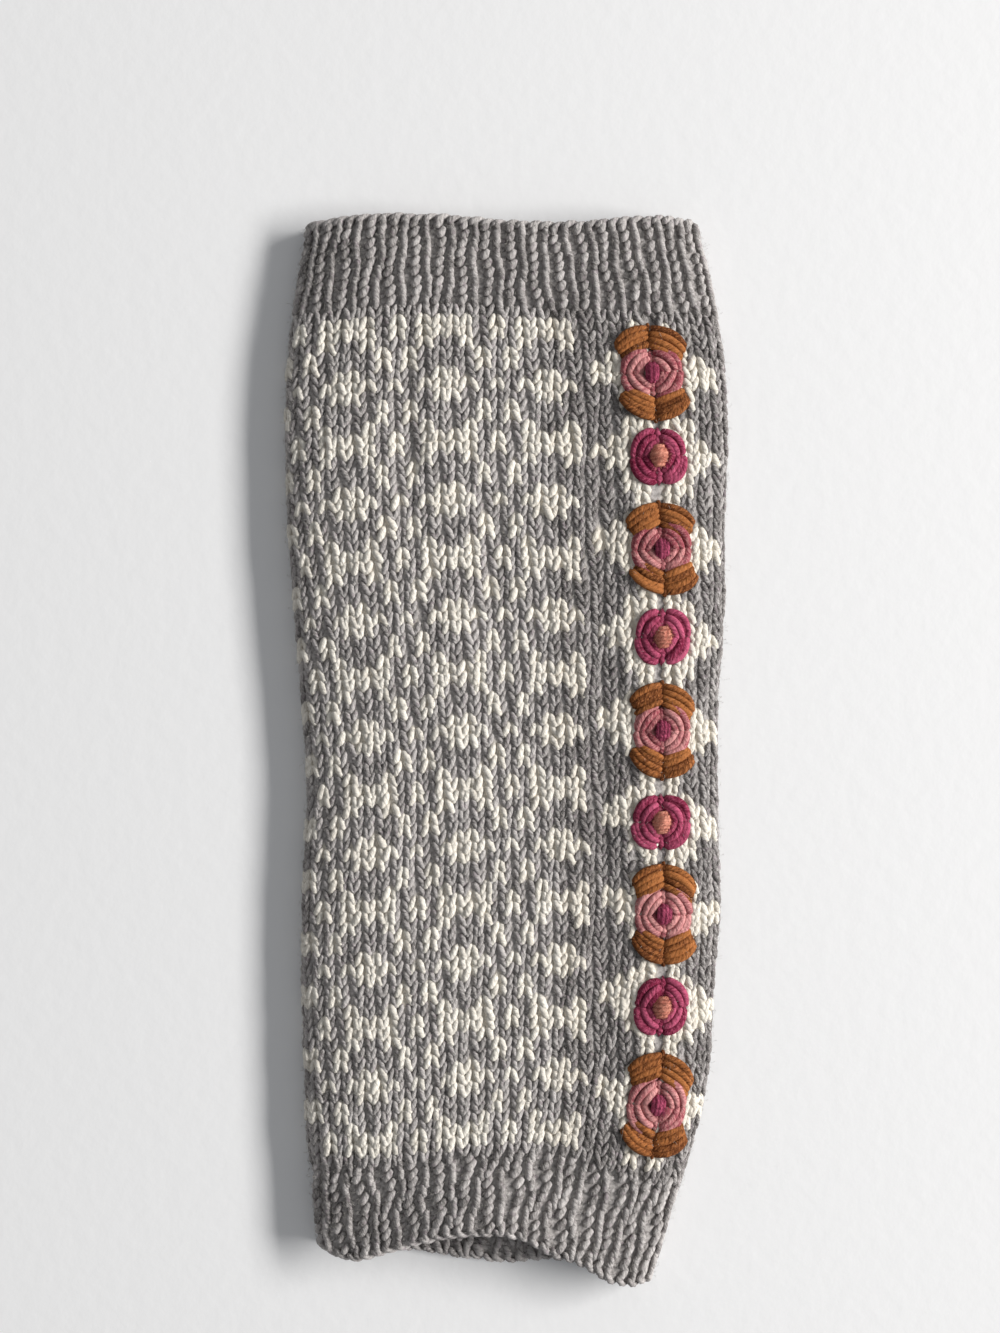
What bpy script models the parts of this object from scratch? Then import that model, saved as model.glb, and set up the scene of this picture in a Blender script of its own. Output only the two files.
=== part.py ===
"""A hand-knitted leg warmer lying flat: two ribbed cuffs, a leg and nine embroidered roses.

Metres, +Z up. X runs across the leg warmer and +Y towards its wide top cuff. The origin is on the
surface it lies on, under the middle of its bounding box. Sizes below are in millimetres, and
MM turns them into metres where a mesh is made.
"""

import math
from collections import namedtuple

import bmesh
import bpy
import numpy as np

MM = 0.001

# The cloth
WALL = 3.5               # a stranded knit with its floats
GAP = 0.3                # between two pieces that meet
COLUMNS = 64             # stitches around the leg
FOLD_RADIUS = 5.5        # the tube's round fold where it turns under
REFERENCE_WIDTH = 140.0  # the section on which the columns are spaced
REFERENCE_CROWN = 14.5
DOME_POWER = 3.0         # how squarely the front falls to its folds
OUTLINE_SAMPLES = 240    # along the front or the back of a section
FOLD_SAMPLES = 30        # along the lower quarter of a fold
NORMAL_STEP = 0.002      # share of the section or of a stage, for the surface's slope
SLOPE_STEP = 0.5         # for the slope of the front
IN_SECTION = (1.0, 0.0, 1.0)  # keeps a direction in the section's plane
MERGE_DISTANCE = 0.01    # points nearer than this become one
SHARP_DEGREES = 50.0     # edges bent more than this stay sharp

# The ribs
TOP_RIBS = 36
BOTTOM_RIBS = 30
RIB_DEPTH = 1.1
RIB_CREST = (0.28, 0.72)  # where a rib's flat crest starts and ends, as shares of its width
RIB_FADE = 0.22           # the share of a cuff's depth over which its ribs fade at the seam

# The front hem stands open at the bottom
MOUTH_LIFT = 5.0
MOUTH_CENTRE = -0.05
MOUTH_HALF_WIDTH = 0.42
MOUTH_REACH = 38.0

# Bands of faces along each stretch, outside and inside
CUFF_BANDS = (6, 3)
LEG_BANDS = (16, 8)

# Outline from above, and the height of the front's middle, down the length
Section = namedtuple("Section", "y left right crown")
SECTIONS = (
    Section(-178.0, -62.0, 49.2, 15.0),
    Section(-160.0, -64.4, 54.4, 15.0),
    Section(-146.0, -65.8, 58.8, 14.5),
    Section(-128.0, -67.4, 64.2, 14.5),
    Section(-108.0, -68.0, 68.2, 14.5),
    Section(-84.0, -68.9, 69.8, 14.5),
    Section(-48.0, -68.9, 72.2, 14.5),
    Section(-16.0, -67.4, 71.3, 14.5),
    Section(14.0, -68.8, 71.5, 14.5),
    Section(45.0, -71.3, 73.5, 15.0),
    Section(75.0, -73.5, 73.6, 15.0),
    Section(107.0, -74.5, 74.6, 15.0),
    Section(138.0, -73.1, 72.6, 14.5),
    Section(158.0, -70.5, 68.9, 14.0),
    Section(178.0, -67.5, 64.4, 13.5),
)

# Where each stage of the knitting lies: across = -1 at the left fold and 1 at the right one
Line = namedtuple("Line", "across front back")
BOTTOM_HEM = (
    Line(-1.00, -166.0, -166.0),
    Line(-0.80, -169.0, -167.0),
    Line(-0.55, -165.0, -167.5),
    Line(-0.30, -160.2, -169.6),
    Line(-0.05, -158.4, -171.6),
    Line(0.18, -160.2, -172.2),
    Line(0.35, -165.6, -171.6),
    Line(0.52, -169.3, -171.2),
    Line(0.75, -176.3, -173.8),
    Line(0.90, -177.8, -176.6),
    Line(1.00, -177.6, -177.6),
)
LOWER_SEAM = (
    Line(-1.00, -135.5, -135.5),
    Line(-0.50, -133.8, -133.8),
    Line(0.00, -129.8, -134.0),
    Line(0.35, -130.6, -134.6),
    Line(0.75, -139.0, -139.0),
    Line(1.00, -141.0, -141.0),
)
UPPER_SEAM = (
    Line(-1.00, 142.5, 142.5),
    Line(-0.30, 145.0, 143.5),
    Line(0.30, 143.5, 143.0),
    Line(1.00, 142.0, 142.0),
)
TOP_HEM = (
    Line(-1.00, 175.6, 175.6),
    Line(-0.72, 177.5, 176.6),
    Line(-0.45, 177.65, 177.0),
    Line(-0.28, 177.0, 177.0),
    Line(-0.04, 175.8, 176.4),
    Line(0.20, 174.8, 176.0),
    Line(0.38, 175.0, 176.0),
    Line(0.62, 176.4, 176.4),
    Line(0.85, 177.5, 176.8),
    Line(1.00, 176.0, 176.0),
)
STAGES = (BOTTOM_HEM, LOWER_SEAM, UPPER_SEAM, TOP_HEM)

# Soft troughs along the front
Crease = namedtuple("Crease", "top_x top_y bottom_x bottom_y half_width depth")
CREASES = (
    Crease(-35.0, 148.0, -31.0, 60.0, 5.0, 1.0),
    Crease(-3.0, 92.0, -2.0, 16.0, 5.0, 0.8),
    Crease(32.0, 140.0, 33.0, -126.0, 4.5, 0.8),
    Crease(-30.0, 22.0, -26.0, -62.0, 5.0, 0.6),
)
CREASE_END = 16.0

# The embroidery, down the front: centre, half size and lean in degrees (positive leans left)
Rose = namedtuple("Rose", "x y half_width half_height lean")
LARGE_ROSES = (
    Rose(48.3, 125.6, 13.0, 16.0, 5.0),
    Rose(51.6, 67.2, 12.4, 15.4, 4.0),
    Rose(51.8, 6.7, 11.8, 16.0, 0.0),
    Rose(52.3, -54.4, 11.8, 16.8, 0.0),
    Rose(50.3, -118.0, 12.2, 17.6, -6.0),
)
SMALL_ROSES = (
    Rose(50.6, 98.0, 9.8, 9.7, 2.0),
    Rose(51.9, 37.8, 9.6, 9.8, 0.0),
    Rose(51.5, -23.8, 10.0, 9.4, 0.0),
    Rose(51.6, -85.3, 9.5, 10.2, -4.0),
)
PAD_GAP = 0.35           # a pad's clearance over the leg
LARGE_PETALS_SHARE = (0.80, 0.60)  # a large rose's petals, as shares of its half sizes
PETAL_HEIGHT = 2.2
LARGE_PETAL_STATIONS = 28  # places around a ring of petals
SMALL_PETAL_STATIONS = 24
PETAL_NOTCH = 0.05       # how far the ring draws in between its quarters
PETAL_DIP = 0.2          # and how far it sinks there
Knot = namedtuple("Knot", "half_width half_height thickness")
LARGE_KNOT = Knot(2.6, 3.7, 3.4)
SMALL_KNOT = Knot(3.0, 4.2, 3.8)
KNOT_CLEARANCE = 0.4
LEAF_HALF_WIDTH = 2.8
LEAF_HEIGHT = 2.6
LEAF_TIP = 0.25          # the leaf's half width at its tips, as a share of LEAF_HALF_WIDTH
LEAF_END_HEIGHT = 0.45
LEAF_FULLNESS = 0.55
LEAF_BANDS = 8
KNOT_SIDES = 12
# Closed profiles of the pads: how far across or outward, and how high, as shares
PETAL_PROFILE = ((0.0, 0.0), (1.0, 0.0), (1.0, 0.45), (0.82, 0.95), (0.30, 1.0), (0.0, 0.55), (0.0, 0.0))
LEAF_PROFILE = ((-1.0, 0.0), (1.0, 0.0), (1.0, 0.45), (0.5, 1.0), (-0.5, 1.0), (-1.0, 0.45), (-1.0, 0.0))
KNOT_PROFILE = ((0.0, 0.0), (0.96, 0.0), (1.0, 0.45), (0.66, 0.88), (0.0, 1.0))
# A leaf runs from near the rose's upright line out to its side, in shares of the half sizes
Leaf = namedtuple("Leaf", "name side up tip_x tip_y end_x end_y bulge")
LEAVES = (
    Leaf("upper_left", -1.0, 1.0, 0.09, 0.90, 0.90, 0.38, 0.17),
    Leaf("upper_right", 1.0, 1.0, 0.09, 0.90, 0.90, 0.38, 0.17),
    Leaf("lower_left", -1.0, -1.0, 0.11, 0.90, 0.88, 0.42, 0.10),
    Leaf("lower_right", 1.0, -1.0, 0.11, 0.90, 0.88, 0.42, 0.10),
)

# Colours and roughness of the yarns
GREY_YARN = ("grey_yarn", (0.30, 0.28, 0.27), 0.95)
MIXED_YARN = ("grey_and_cream_yarn", (0.46, 0.43, 0.39), 0.95)
RUST_YARN = ("rust_yarn", (0.40, 0.12, 0.02), 0.9)
PINK_YARN = ("dusty_pink_yarn", (0.61, 0.22, 0.22), 0.9)
MAGENTA_YARN = ("magenta_yarn", (0.40, 0.03, 0.13), 0.9)
SALMON_YARN = ("salmon_yarn", (0.68, 0.24, 0.17), 0.9)


def smooth_column(rows, column, at):
    """A table's named column, read along a smooth curve at values of the table's first column."""
    knots = np.array([row[0] for row in rows])
    values = np.array([getattr(row, column) for row in rows])
    slopes = np.gradient(values, knots)
    at = np.clip(at, knots[0], knots[-1])
    low = np.clip(np.searchsorted(knots, at, side="right") - 1, 0, len(knots) - 2)
    span = knots[low + 1] - knots[low]
    share = (at - knots[low]) / span
    rise = share * share * (3.0 - 2.0 * share)
    leave = share * (1.0 - share) ** 2 * span * slopes[low]
    arrive = share * share * (share - 1.0) * span * slopes[low + 1]
    return values[low] * (1.0 - rise) + values[low + 1] * rise + leave + arrive


def smooth_step(value):
    """0 below 0, 1 above 1 and a soft rise between them."""
    value = np.clip(value, 0.0, 1.0)
    return value * value * (3.0 - 2.0 * value)


def dome(across):
    """Height of the front over the floor, as a share of the crown."""
    fold = FOLD_RADIUS / REFERENCE_CROWN
    fall = np.clip(1.0 - np.abs(across) ** DOME_POWER, 0.0, 1.0)
    return fold + (1.0 - fold) * np.sqrt(fall)


def reference_outline():
    """The section once around from its left fold, over the front: share, across and height."""
    half = REFERENCE_WIDTH / 2.0
    round_share = FOLD_RADIUS / half
    fold = FOLD_RADIUS / REFERENCE_CROWN
    sweep = np.linspace(0.0, math.pi, OUTLINE_SAMPLES)
    quarter = np.linspace(0.0, math.pi / 2.0, FOLD_SAMPLES)
    over = -np.cos(sweep)
    right = 1.0 - round_share + round_share * np.cos(quarter)
    under = np.linspace(1.0 - round_share, round_share - 1.0, OUTLINE_SAMPLES)
    left = -right[::-1]
    across = np.concatenate((over, right[1:], under[1:], left[1:]))
    lower = fold * (1.0 - np.sin(quarter))
    height = np.concatenate((dome(over), lower[1:], np.zeros(OUTLINE_SAMPLES - 1), lower[::-1][1:]))
    steps = np.hypot(np.diff(across) * half, np.diff(height) * REFERENCE_CROWN)
    travelled = np.concatenate(([0.0], np.cumsum(steps)))
    return travelled / travelled[-1], across, height


OUTLINE = reference_outline()


def crease_depth(x, y):
    """How deep the soft troughs are at a place on the front."""
    total = np.zeros(np.broadcast(x, y).shape)
    for crease in CREASES:
        share = (y - crease.bottom_y) / (crease.top_y - crease.bottom_y)
        line = crease.bottom_x + share * (crease.top_x - crease.bottom_x)
        ends = smooth_step((crease.top_y - y) / CREASE_END) * smooth_step((y - crease.bottom_y) / CREASE_END)
        total = total + crease.depth * ends * np.exp(-(((x - line) / crease.half_width) ** 2))
    return total


def place(across, height, y):
    """A point of the outer surface from its place in the section and along the length."""
    left = smooth_column(SECTIONS, "left", y)
    right = smooth_column(SECTIONS, "right", y)
    crown = smooth_column(SECTIONS, "crown", y)
    x = (left + right) / 2.0 + (right - left) / 2.0 * across
    fold = FOLD_RADIUS / REFERENCE_CROWN
    upper = np.clip((height - fold) / (1.0 - fold), 0.0, 1.0)
    hem = smooth_column(BOTTOM_HEM, "front", across)
    lift = MOUTH_LIFT * np.exp(-(((across - MOUTH_CENTRE) / MOUTH_HALF_WIDTH) ** 2))
    lift = lift * smooth_step((hem + MOUTH_REACH - y) / MOUTH_REACH)
    z = crown * height + upper * (lift - crease_depth(x, y))
    return np.stack((x, y, z), axis=-1)


def level(across, height, stage):
    """Y of the cloth at a stage: 0 bottom hem, 1 lower seam, 2 upper seam and 3 top hem."""
    front_share = smooth_step(height / (FOLD_RADIUS / REFERENCE_CROWN))
    lines = []
    for table in STAGES:
        front_line = smooth_column(table, "front", across)
        back_line = smooth_column(table, "back", across)
        lines.append(back_line + (front_line - back_line) * front_share)
    low = np.clip(np.floor(stage), 0, len(STAGES) - 2).astype(int)
    share = stage - low
    below = np.choose(low, lines[:-1])
    above = np.choose(low, lines[1:])
    return below + (above - below) * share


def outer_surface(around, stage):
    """A point of the tube's outside: around 0 to 1 from the left fold over the front."""
    share, across_line, height_line = OUTLINE
    around = np.mod(around, 1.0)
    across = np.interp(around, share, across_line)
    height = np.interp(around, share, height_line)
    return place(across, height, level(across, height, stage))


def unit(vectors):
    """The vectors at length 1."""
    return vectors / np.linalg.norm(vectors, axis=-1, keepdims=True)


def skin(around, stage, out):
    """A point of the tube moved out from its outer surface in the section, or in if out is negative."""
    around, stage, out = np.broadcast_arrays(around, stage, out)
    ahead = outer_surface(around + NORMAL_STEP, stage) - outer_surface(around - NORMAL_STEP, stage)
    later = outer_surface(around, stage + NORMAL_STEP) - outer_surface(around, stage - NORMAL_STEP)
    normal = unit(np.cross(ahead, later) * IN_SECTION)
    return outer_surface(around, stage) + normal * out[..., None]


def front_height(x, y):
    """Height of the leg's front over a place on the floor."""
    left = smooth_column(SECTIONS, "left", y)
    right = smooth_column(SECTIONS, "right", y)
    across = (2.0 * x - left - right) / (right - left)
    return place(across, dome(across), y)[..., 2]


def front(x, y, out):
    """A point of the leg's front over a place on the floor, moved out from the surface."""
    x, y, out = np.broadcast_arrays(x, y, out)
    slope_x = (front_height(x + SLOPE_STEP, y) - front_height(x - SLOPE_STEP, y)) / (2.0 * SLOPE_STEP)
    slope_y = (front_height(x, y + SLOPE_STEP) - front_height(x, y - SLOPE_STEP)) / (2.0 * SLOPE_STEP)
    normal = unit(np.stack((-slope_x, -slope_y, np.ones(slope_x.shape)), axis=-1))
    return np.stack((x, y, front_height(x, y)), axis=-1) + normal * out[..., None]


def yarn_material(colour):
    """A plain woolly material."""
    name, base_colour, roughness = colour
    material = bpy.data.materials.get(name)
    if material is None:
        material = bpy.data.materials.new(name)
        material.use_nodes = True
        shader = material.node_tree.nodes["Principled BSDF"]
        shader.inputs["Base Color"].default_value = (*base_colour, 1.0)
        shader.inputs["Roughness"].default_value = roughness
        shader.inputs["Metallic"].default_value = 0.0
    return material


def closed_body(name, points, colour):
    """One closed body through a grid of points whose edges meet, or shrink to a point."""
    rows, columns = points.shape[:2]
    shape = bmesh.new()
    bmesh.ops.create_grid(shape, x_segments=columns - 1, y_segments=rows - 1, size=1.0)
    for vertex in shape.verts:
        column = round((vertex.co.x + 1.0) / 2.0 * (columns - 1))
        row = round((vertex.co.y + 1.0) / 2.0 * (rows - 1))
        vertex.co = points[row, column] * MM
    bmesh.ops.remove_doubles(shape, verts=shape.verts, dist=MERGE_DISTANCE * MM)
    bmesh.ops.recalc_face_normals(shape, faces=shape.faces)
    mesh = bpy.data.meshes.new(name)
    shape.to_mesh(mesh)
    shape.free()
    mesh.shade_smooth()
    mesh.set_sharp_from_angle(angle=math.radians(SHARP_DEGREES))
    mesh.materials.append(yarn_material(colour))
    body = bpy.data.objects.new(name, mesh)
    bpy.context.scene.collection.objects.link(body)
    return body


def tube_points(around, first_stage, last_stage, bands, relief):
    """A grid of points over a tube's outside, its far edge, its inside and back to its near edge.

    An edge that meets the next stretch is drawn in by half the gap.
    """
    outside_bands, inside_bands = bands
    outside = np.linspace(first_stage, last_stage, outside_bands + 1)[:, None]
    inside = np.linspace(last_stage, first_stage, inside_bands + 1)[:, None]
    outer = skin(around, outside, relief(outside))
    inner = skin(around, inside, -WALL)
    if first_stage > 0.0:
        outer[0, :, 1] += GAP / 2.0
        inner[-1, :, 1] += GAP / 2.0
    if last_stage < len(STAGES) - 1.0:
        outer[-1, :, 1] -= GAP / 2.0
        inner[0, :, 1] -= GAP / 2.0
    return np.concatenate((outer, inner, outer[:1]))


def rib_columns(ribs):
    """Places around a ribbed cuff: the valley and both sides of the crest of each rib."""
    places = []
    for rib in range(ribs):
        for share in (0.0, *RIB_CREST):
            places.append((rib + share) / ribs)
    return np.array(places + [1.0])


def make_cuff(name, ribs, first_stage, last_stage, seam_stage):
    """A cuff whose ribs stand out of its wall everywhere but where it lies on the floor."""
    around = rib_columns(ribs)
    share, _, height_line = OUTLINE
    height = np.interp(around, share, height_line)
    above_floor = np.clip(height * REFERENCE_CROWN / FOLD_RADIUS, 0.0, 1.0)
    valley = np.arange(len(around)) % (len(RIB_CREST) + 1) == 0

    def relief(stage):
        fade = smooth_step(np.abs(stage - seam_stage) / RIB_FADE)
        return -RIB_DEPTH * fade * valley * above_floor

    points = tube_points(around, first_stage, last_stage, CUFF_BANDS, relief)
    return closed_body(name, points, GREY_YARN)


def make_leg():
    """The colourwork stretch between the cuffs."""
    around = np.linspace(0.0, 1.0, COLUMNS + 1)
    points = tube_points(around, 1.0, 2.0, LEG_BANDS, lambda stage: 0.0 * stage)
    return closed_body("leg", points, MIXED_YARN)


def on_rose(rose, side, up):
    """Places on the floor from places in a rose's own upright frame."""
    turn = math.radians(rose.lean)
    x = rose.x + side * math.cos(turn) - up * math.sin(turn)
    y = rose.y + side * math.sin(turn) + up * math.cos(turn)
    return x, y


def make_petals(name, rose, half_width, half_height, knot, colour, stations):
    """The petals' ring around a knot, with a dip between its four quarters."""
    sweep = np.linspace(0.0, 2.0 * math.pi, stations + 1)
    inner_width = knot.half_width + KNOT_CLEARANCE
    inner_height = knot.half_height + KNOT_CLEARANCE
    quarter = np.abs(np.sin(2.0 * sweep))
    notch = 1.0 - PETAL_NOTCH * (1.0 - quarter)
    grid = []
    for outward, rise in PETAL_PROFILE:
        wide = inner_width + (half_width * notch - inner_width) * outward
        tall = inner_height + (half_height * notch - inner_height) * outward
        x, y = on_rose(rose, wide * np.cos(sweep), tall * np.sin(sweep))
        thick = PETAL_HEIGHT * rise * (1.0 - PETAL_DIP * (1.0 - quarter))
        grid.append(front(x, y, PAD_GAP + thick))
    return closed_body(name, np.array(grid), colour)


def make_knot(name, rose, knot, colour):
    """The raised knot in the middle of a rose."""
    sweep = np.linspace(0.0, 2.0 * math.pi, KNOT_SIDES + 1)
    grid = []
    for outward, rise in KNOT_PROFILE:
        side = knot.half_width * outward * np.cos(sweep)
        up = knot.half_height * outward * np.sin(sweep)
        x, y = on_rose(rose, side, up)
        grid.append(front(x, y, PAD_GAP + knot.thickness * rise))
    return closed_body(name, np.array(grid), colour)


def make_leaf(name, rose, leaf):
    """A leaf of satin stitches: a thick lens from the rose's upright line out to its side."""
    half_size = np.array((rose.half_width, rose.half_height))
    mirror = np.array((leaf.side, leaf.up))
    start = mirror * half_size * (leaf.tip_x, leaf.tip_y)
    end = mirror * half_size * (leaf.end_x, leaf.end_y)
    run = end - start
    outward = unit(mirror * np.abs(run[::-1]))
    share = np.linspace(0.0, 1.0, LEAF_BANDS + 1)
    arch = np.sin(math.pi * share)
    spine = start + run * share[:, None] + outward * (leaf.bulge * rose.half_width * arch)[:, None]
    half_width = LEAF_HALF_WIDTH * (LEAF_TIP + (1.0 - LEAF_TIP) * arch ** LEAF_FULLNESS)
    height = LEAF_HEIGHT * (LEAF_END_HEIGHT + (1.0 - LEAF_END_HEIGHT) * arch)
    heading = unit(np.gradient(spine, axis=0))
    aside = np.stack((-heading[:, 1], heading[:, 0]), axis=-1)
    grid = []
    for across, rise in LEAF_PROFILE:
        line = spine + aside * (half_width * across)[:, None]
        x, y = on_rose(rose, line[:, 0], line[:, 1])
        grid.append(front(x, y, PAD_GAP + height * rise))
    grid = np.array(grid)
    first = np.repeat(grid[:, :1].mean(axis=0, keepdims=True), len(LEAF_PROFILE), axis=0)
    last = np.repeat(grid[:, -1:].mean(axis=0, keepdims=True), len(LEAF_PROFILE), axis=0)
    return closed_body(name, np.concatenate((first, grid, last), axis=1), RUST_YARN)


def make_large_rose(number, rose):
    """A dusty-pink rose with a magenta knot and four rust leaves."""
    name = f"large_rose_{number}"
    half_width = rose.half_width * LARGE_PETALS_SHARE[0]
    half_height = rose.half_height * LARGE_PETALS_SHARE[1]
    petals = (half_width, half_height, LARGE_KNOT, PINK_YARN, LARGE_PETAL_STATIONS)
    make_petals(f"{name}_petals", rose, *petals)
    make_knot(f"{name}_knot", rose, LARGE_KNOT, MAGENTA_YARN)
    for leaf in LEAVES:
        make_leaf(f"{name}_leaf_{leaf.name}", rose, leaf)


def make_small_rose(number, rose):
    """A magenta rose with a salmon knot."""
    name = f"small_rose_{number}"
    petals = (rose.half_width, rose.half_height, SMALL_KNOT, MAGENTA_YARN, SMALL_PETAL_STATIONS)
    make_petals(f"{name}_petals", rose, *petals)
    make_knot(f"{name}_knot", rose, SMALL_KNOT, SALMON_YARN)


def main():
    for old in list(bpy.data.objects):
        bpy.data.objects.remove(old, do_unlink=True)
    make_cuff("cuff_bottom", BOTTOM_RIBS, 0.0, 1.0, 1.0)
    make_leg()
    make_cuff("cuff_top", TOP_RIBS, 2.0, 3.0, 2.0)
    for number, rose in enumerate(LARGE_ROSES, start=1):
        make_large_rose(number, rose)
    for number, rose in enumerate(SMALL_ROSES, start=1):
        make_small_rose(number, rose)


main()
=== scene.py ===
"""A hand-knitted leg warmer lying flat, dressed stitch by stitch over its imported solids.

+Z up. Lengths below are in millimetres unless they say otherwise, and MM turns them into metres
where a mesh is made. Places around the tube run from 0 to 1 from its left fold over the front.
Run as a script.
"""

import math
from collections import namedtuple

import bmesh
import bpy
import numpy as np
from bpy.props import FloatProperty, FloatVectorProperty, IntProperty, PointerProperty
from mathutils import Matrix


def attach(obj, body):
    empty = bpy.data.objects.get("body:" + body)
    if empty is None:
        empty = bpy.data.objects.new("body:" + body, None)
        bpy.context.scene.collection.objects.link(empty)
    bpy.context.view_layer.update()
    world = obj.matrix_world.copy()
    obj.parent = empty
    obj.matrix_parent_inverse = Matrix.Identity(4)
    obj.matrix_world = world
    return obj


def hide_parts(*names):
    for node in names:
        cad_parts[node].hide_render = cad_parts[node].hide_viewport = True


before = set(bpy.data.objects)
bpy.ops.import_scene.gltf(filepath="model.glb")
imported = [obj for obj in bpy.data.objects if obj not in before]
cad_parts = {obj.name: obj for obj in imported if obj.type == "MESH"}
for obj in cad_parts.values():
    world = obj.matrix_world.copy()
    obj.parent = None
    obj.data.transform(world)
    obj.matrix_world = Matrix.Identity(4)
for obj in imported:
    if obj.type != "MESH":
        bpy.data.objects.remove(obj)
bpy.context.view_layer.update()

bl_info = {
    "name": "Hand-knitted leg warmer",
    "version": (1, 0, 0),
    "blender": (4, 5, 0),
    "location": "3D View > Sidebar > Leg Warmer",
    "description": "Knits and embroiders a wool leg warmer over its solids",
    "category": "Object",
}

MM = 0.001
CUT_AROUND = 0.290       # metres around the tube
TURN = 2.0 * math.pi
SEED = 11

# The cloth, as in the part's own source
WALL = 3.5
FOLD_RADIUS = 5.5
REFERENCE_WIDTH = 140.0
REFERENCE_CROWN = 14.5
DOME_POWER = 3.0
OUTLINE_SAMPLES = 240
FOLD_SAMPLES = 30
NORMAL_STEP = 0.002
SLOPE_STEP = 0.5
IN_SECTION = (1.0, 0.0, 1.0)
MOUTH_LIFT = 5.0
MOUTH_CENTRE = -0.05
MOUTH_HALF_WIDTH = 0.42
MOUTH_REACH = 38.0

Section = namedtuple("Section", "y left right crown")
SECTIONS = (
    Section(-178.0, -62.0, 49.2, 15.0),
    Section(-160.0, -64.4, 54.4, 15.0),
    Section(-146.0, -65.8, 58.8, 14.5),
    Section(-128.0, -67.4, 64.2, 14.5),
    Section(-108.0, -68.0, 68.2, 14.5),
    Section(-84.0, -68.9, 69.8, 14.5),
    Section(-48.0, -68.9, 72.2, 14.5),
    Section(-16.0, -67.4, 71.3, 14.5),
    Section(14.0, -68.8, 71.5, 14.5),
    Section(45.0, -71.3, 73.5, 15.0),
    Section(75.0, -73.5, 73.6, 15.0),
    Section(107.0, -74.5, 74.6, 15.0),
    Section(138.0, -73.1, 72.6, 14.5),
    Section(158.0, -70.5, 68.9, 14.0),
    Section(178.0, -67.5, 64.4, 13.5),
)

Line = namedtuple("Line", "across front back")
BOTTOM_HEM = (
    Line(-1.00, -166.0, -166.0),
    Line(-0.80, -169.0, -167.0),
    Line(-0.55, -165.0, -167.5),
    Line(-0.30, -160.2, -169.6),
    Line(-0.05, -158.4, -171.6),
    Line(0.18, -160.2, -172.2),
    Line(0.35, -165.6, -171.6),
    Line(0.52, -169.3, -171.2),
    Line(0.75, -176.3, -173.8),
    Line(0.90, -177.8, -176.6),
    Line(1.00, -177.6, -177.6),
)
LOWER_SEAM = (
    Line(-1.00, -135.5, -135.5),
    Line(-0.50, -133.8, -133.8),
    Line(0.00, -129.8, -134.0),
    Line(0.35, -130.6, -134.6),
    Line(0.75, -139.0, -139.0),
    Line(1.00, -141.0, -141.0),
)
UPPER_SEAM = (
    Line(-1.00, 142.5, 142.5),
    Line(-0.30, 145.0, 143.5),
    Line(0.30, 143.5, 143.0),
    Line(1.00, 142.0, 142.0),
)
TOP_HEM = (
    Line(-1.00, 175.6, 175.6),
    Line(-0.72, 177.5, 176.6),
    Line(-0.45, 177.65, 177.0),
    Line(-0.28, 177.0, 177.0),
    Line(-0.04, 175.8, 176.4),
    Line(0.20, 174.8, 176.0),
    Line(0.38, 175.0, 176.0),
    Line(0.62, 176.4, 176.4),
    Line(0.85, 177.5, 176.8),
    Line(1.00, 176.0, 176.0),
)
STAGES = (BOTTOM_HEM, LOWER_SEAM, UPPER_SEAM, TOP_HEM)

Crease = namedtuple("Crease", "top_x top_y bottom_x bottom_y half_width depth")
CREASES = (
    Crease(-35.0, 148.0, -31.0, 60.0, 5.0, 1.0),
    Crease(-3.0, 92.0, -2.0, 16.0, 5.0, 0.8),
    Crease(32.0, 140.0, 33.0, -126.0, 4.5, 0.8),
    Crease(-30.0, 22.0, -26.0, -62.0, 5.0, 0.6),
)
CREASE_END = 16.0        # length over which a crease fades out

# Middles and half sizes in millimetres, leans in degrees
Rose = namedtuple("Rose", "x y half_width half_height lean")
LARGE_ROSES = (
    Rose(48.3, 125.6, 13.0, 16.0, 5.0),
    Rose(51.6, 67.2, 12.4, 15.4, 4.0),
    Rose(51.8, 6.7, 11.8, 16.0, 0.0),
    Rose(52.3, -54.4, 11.8, 16.8, 0.0),
    Rose(50.3, -118.0, 12.2, 17.6, -6.0),
)
SMALL_ROSES = (
    Rose(50.6, 98.0, 9.8, 9.7, 2.0),
    Rose(51.9, 37.8, 9.6, 9.8, 0.0),
    Rose(51.5, -23.8, 10.0, 9.4, 0.0),
    Rose(51.6, -85.3, 9.5, 10.2, -4.0),
)
# Where a leaf's first and last strand start on the rose's upright line and where they end at its
# side, as shares of the rose's half sizes
Leaf = namedtuple("Leaf", "name side up inner_start outer_start inner_end outer_end")
LEAVES = (
    Leaf("upper_left", -1.0, 1.0, 0.62, 0.94, (0.78, 0.32), (0.90, 0.56)),
    Leaf("upper_right", 1.0, 1.0, 0.60, 0.94, (0.84, 0.20), (0.94, 0.42)),
    Leaf("lower_left", -1.0, -1.0, 0.60, 0.95, (0.72, 0.27), (0.90, 0.40)),
    Leaf("lower_right", 1.0, -1.0, 0.62, 0.95, (0.82, 0.34), (0.94, 0.58)),
)

# The colourwork chart: half of a repeat, from a ring's dot outwards. There is one row of signs for
# each row of knitting, from the dot's own row away from it, where c is cream and g is grey
REPEAT_STITCHES = 7
REPEAT_ROWS = 11
RING_CHART = ("ccgc", "cggg", "ggcg", "ggcg", "gcgg", "ccgc")
FIRST_RING_ROW = 6
RING_COLUMN = 19         # a dot's middle, in stitches from the left fold
PANEL_COLUMN = 26.5      # the roses' upright line
PANEL_HALF_WIDTH = 4     # stitches on each side of the line that may be cream between the roses
PANEL_BANDS = (5, 7)     # how far the plain grey reaches to the left and right of the line
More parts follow.
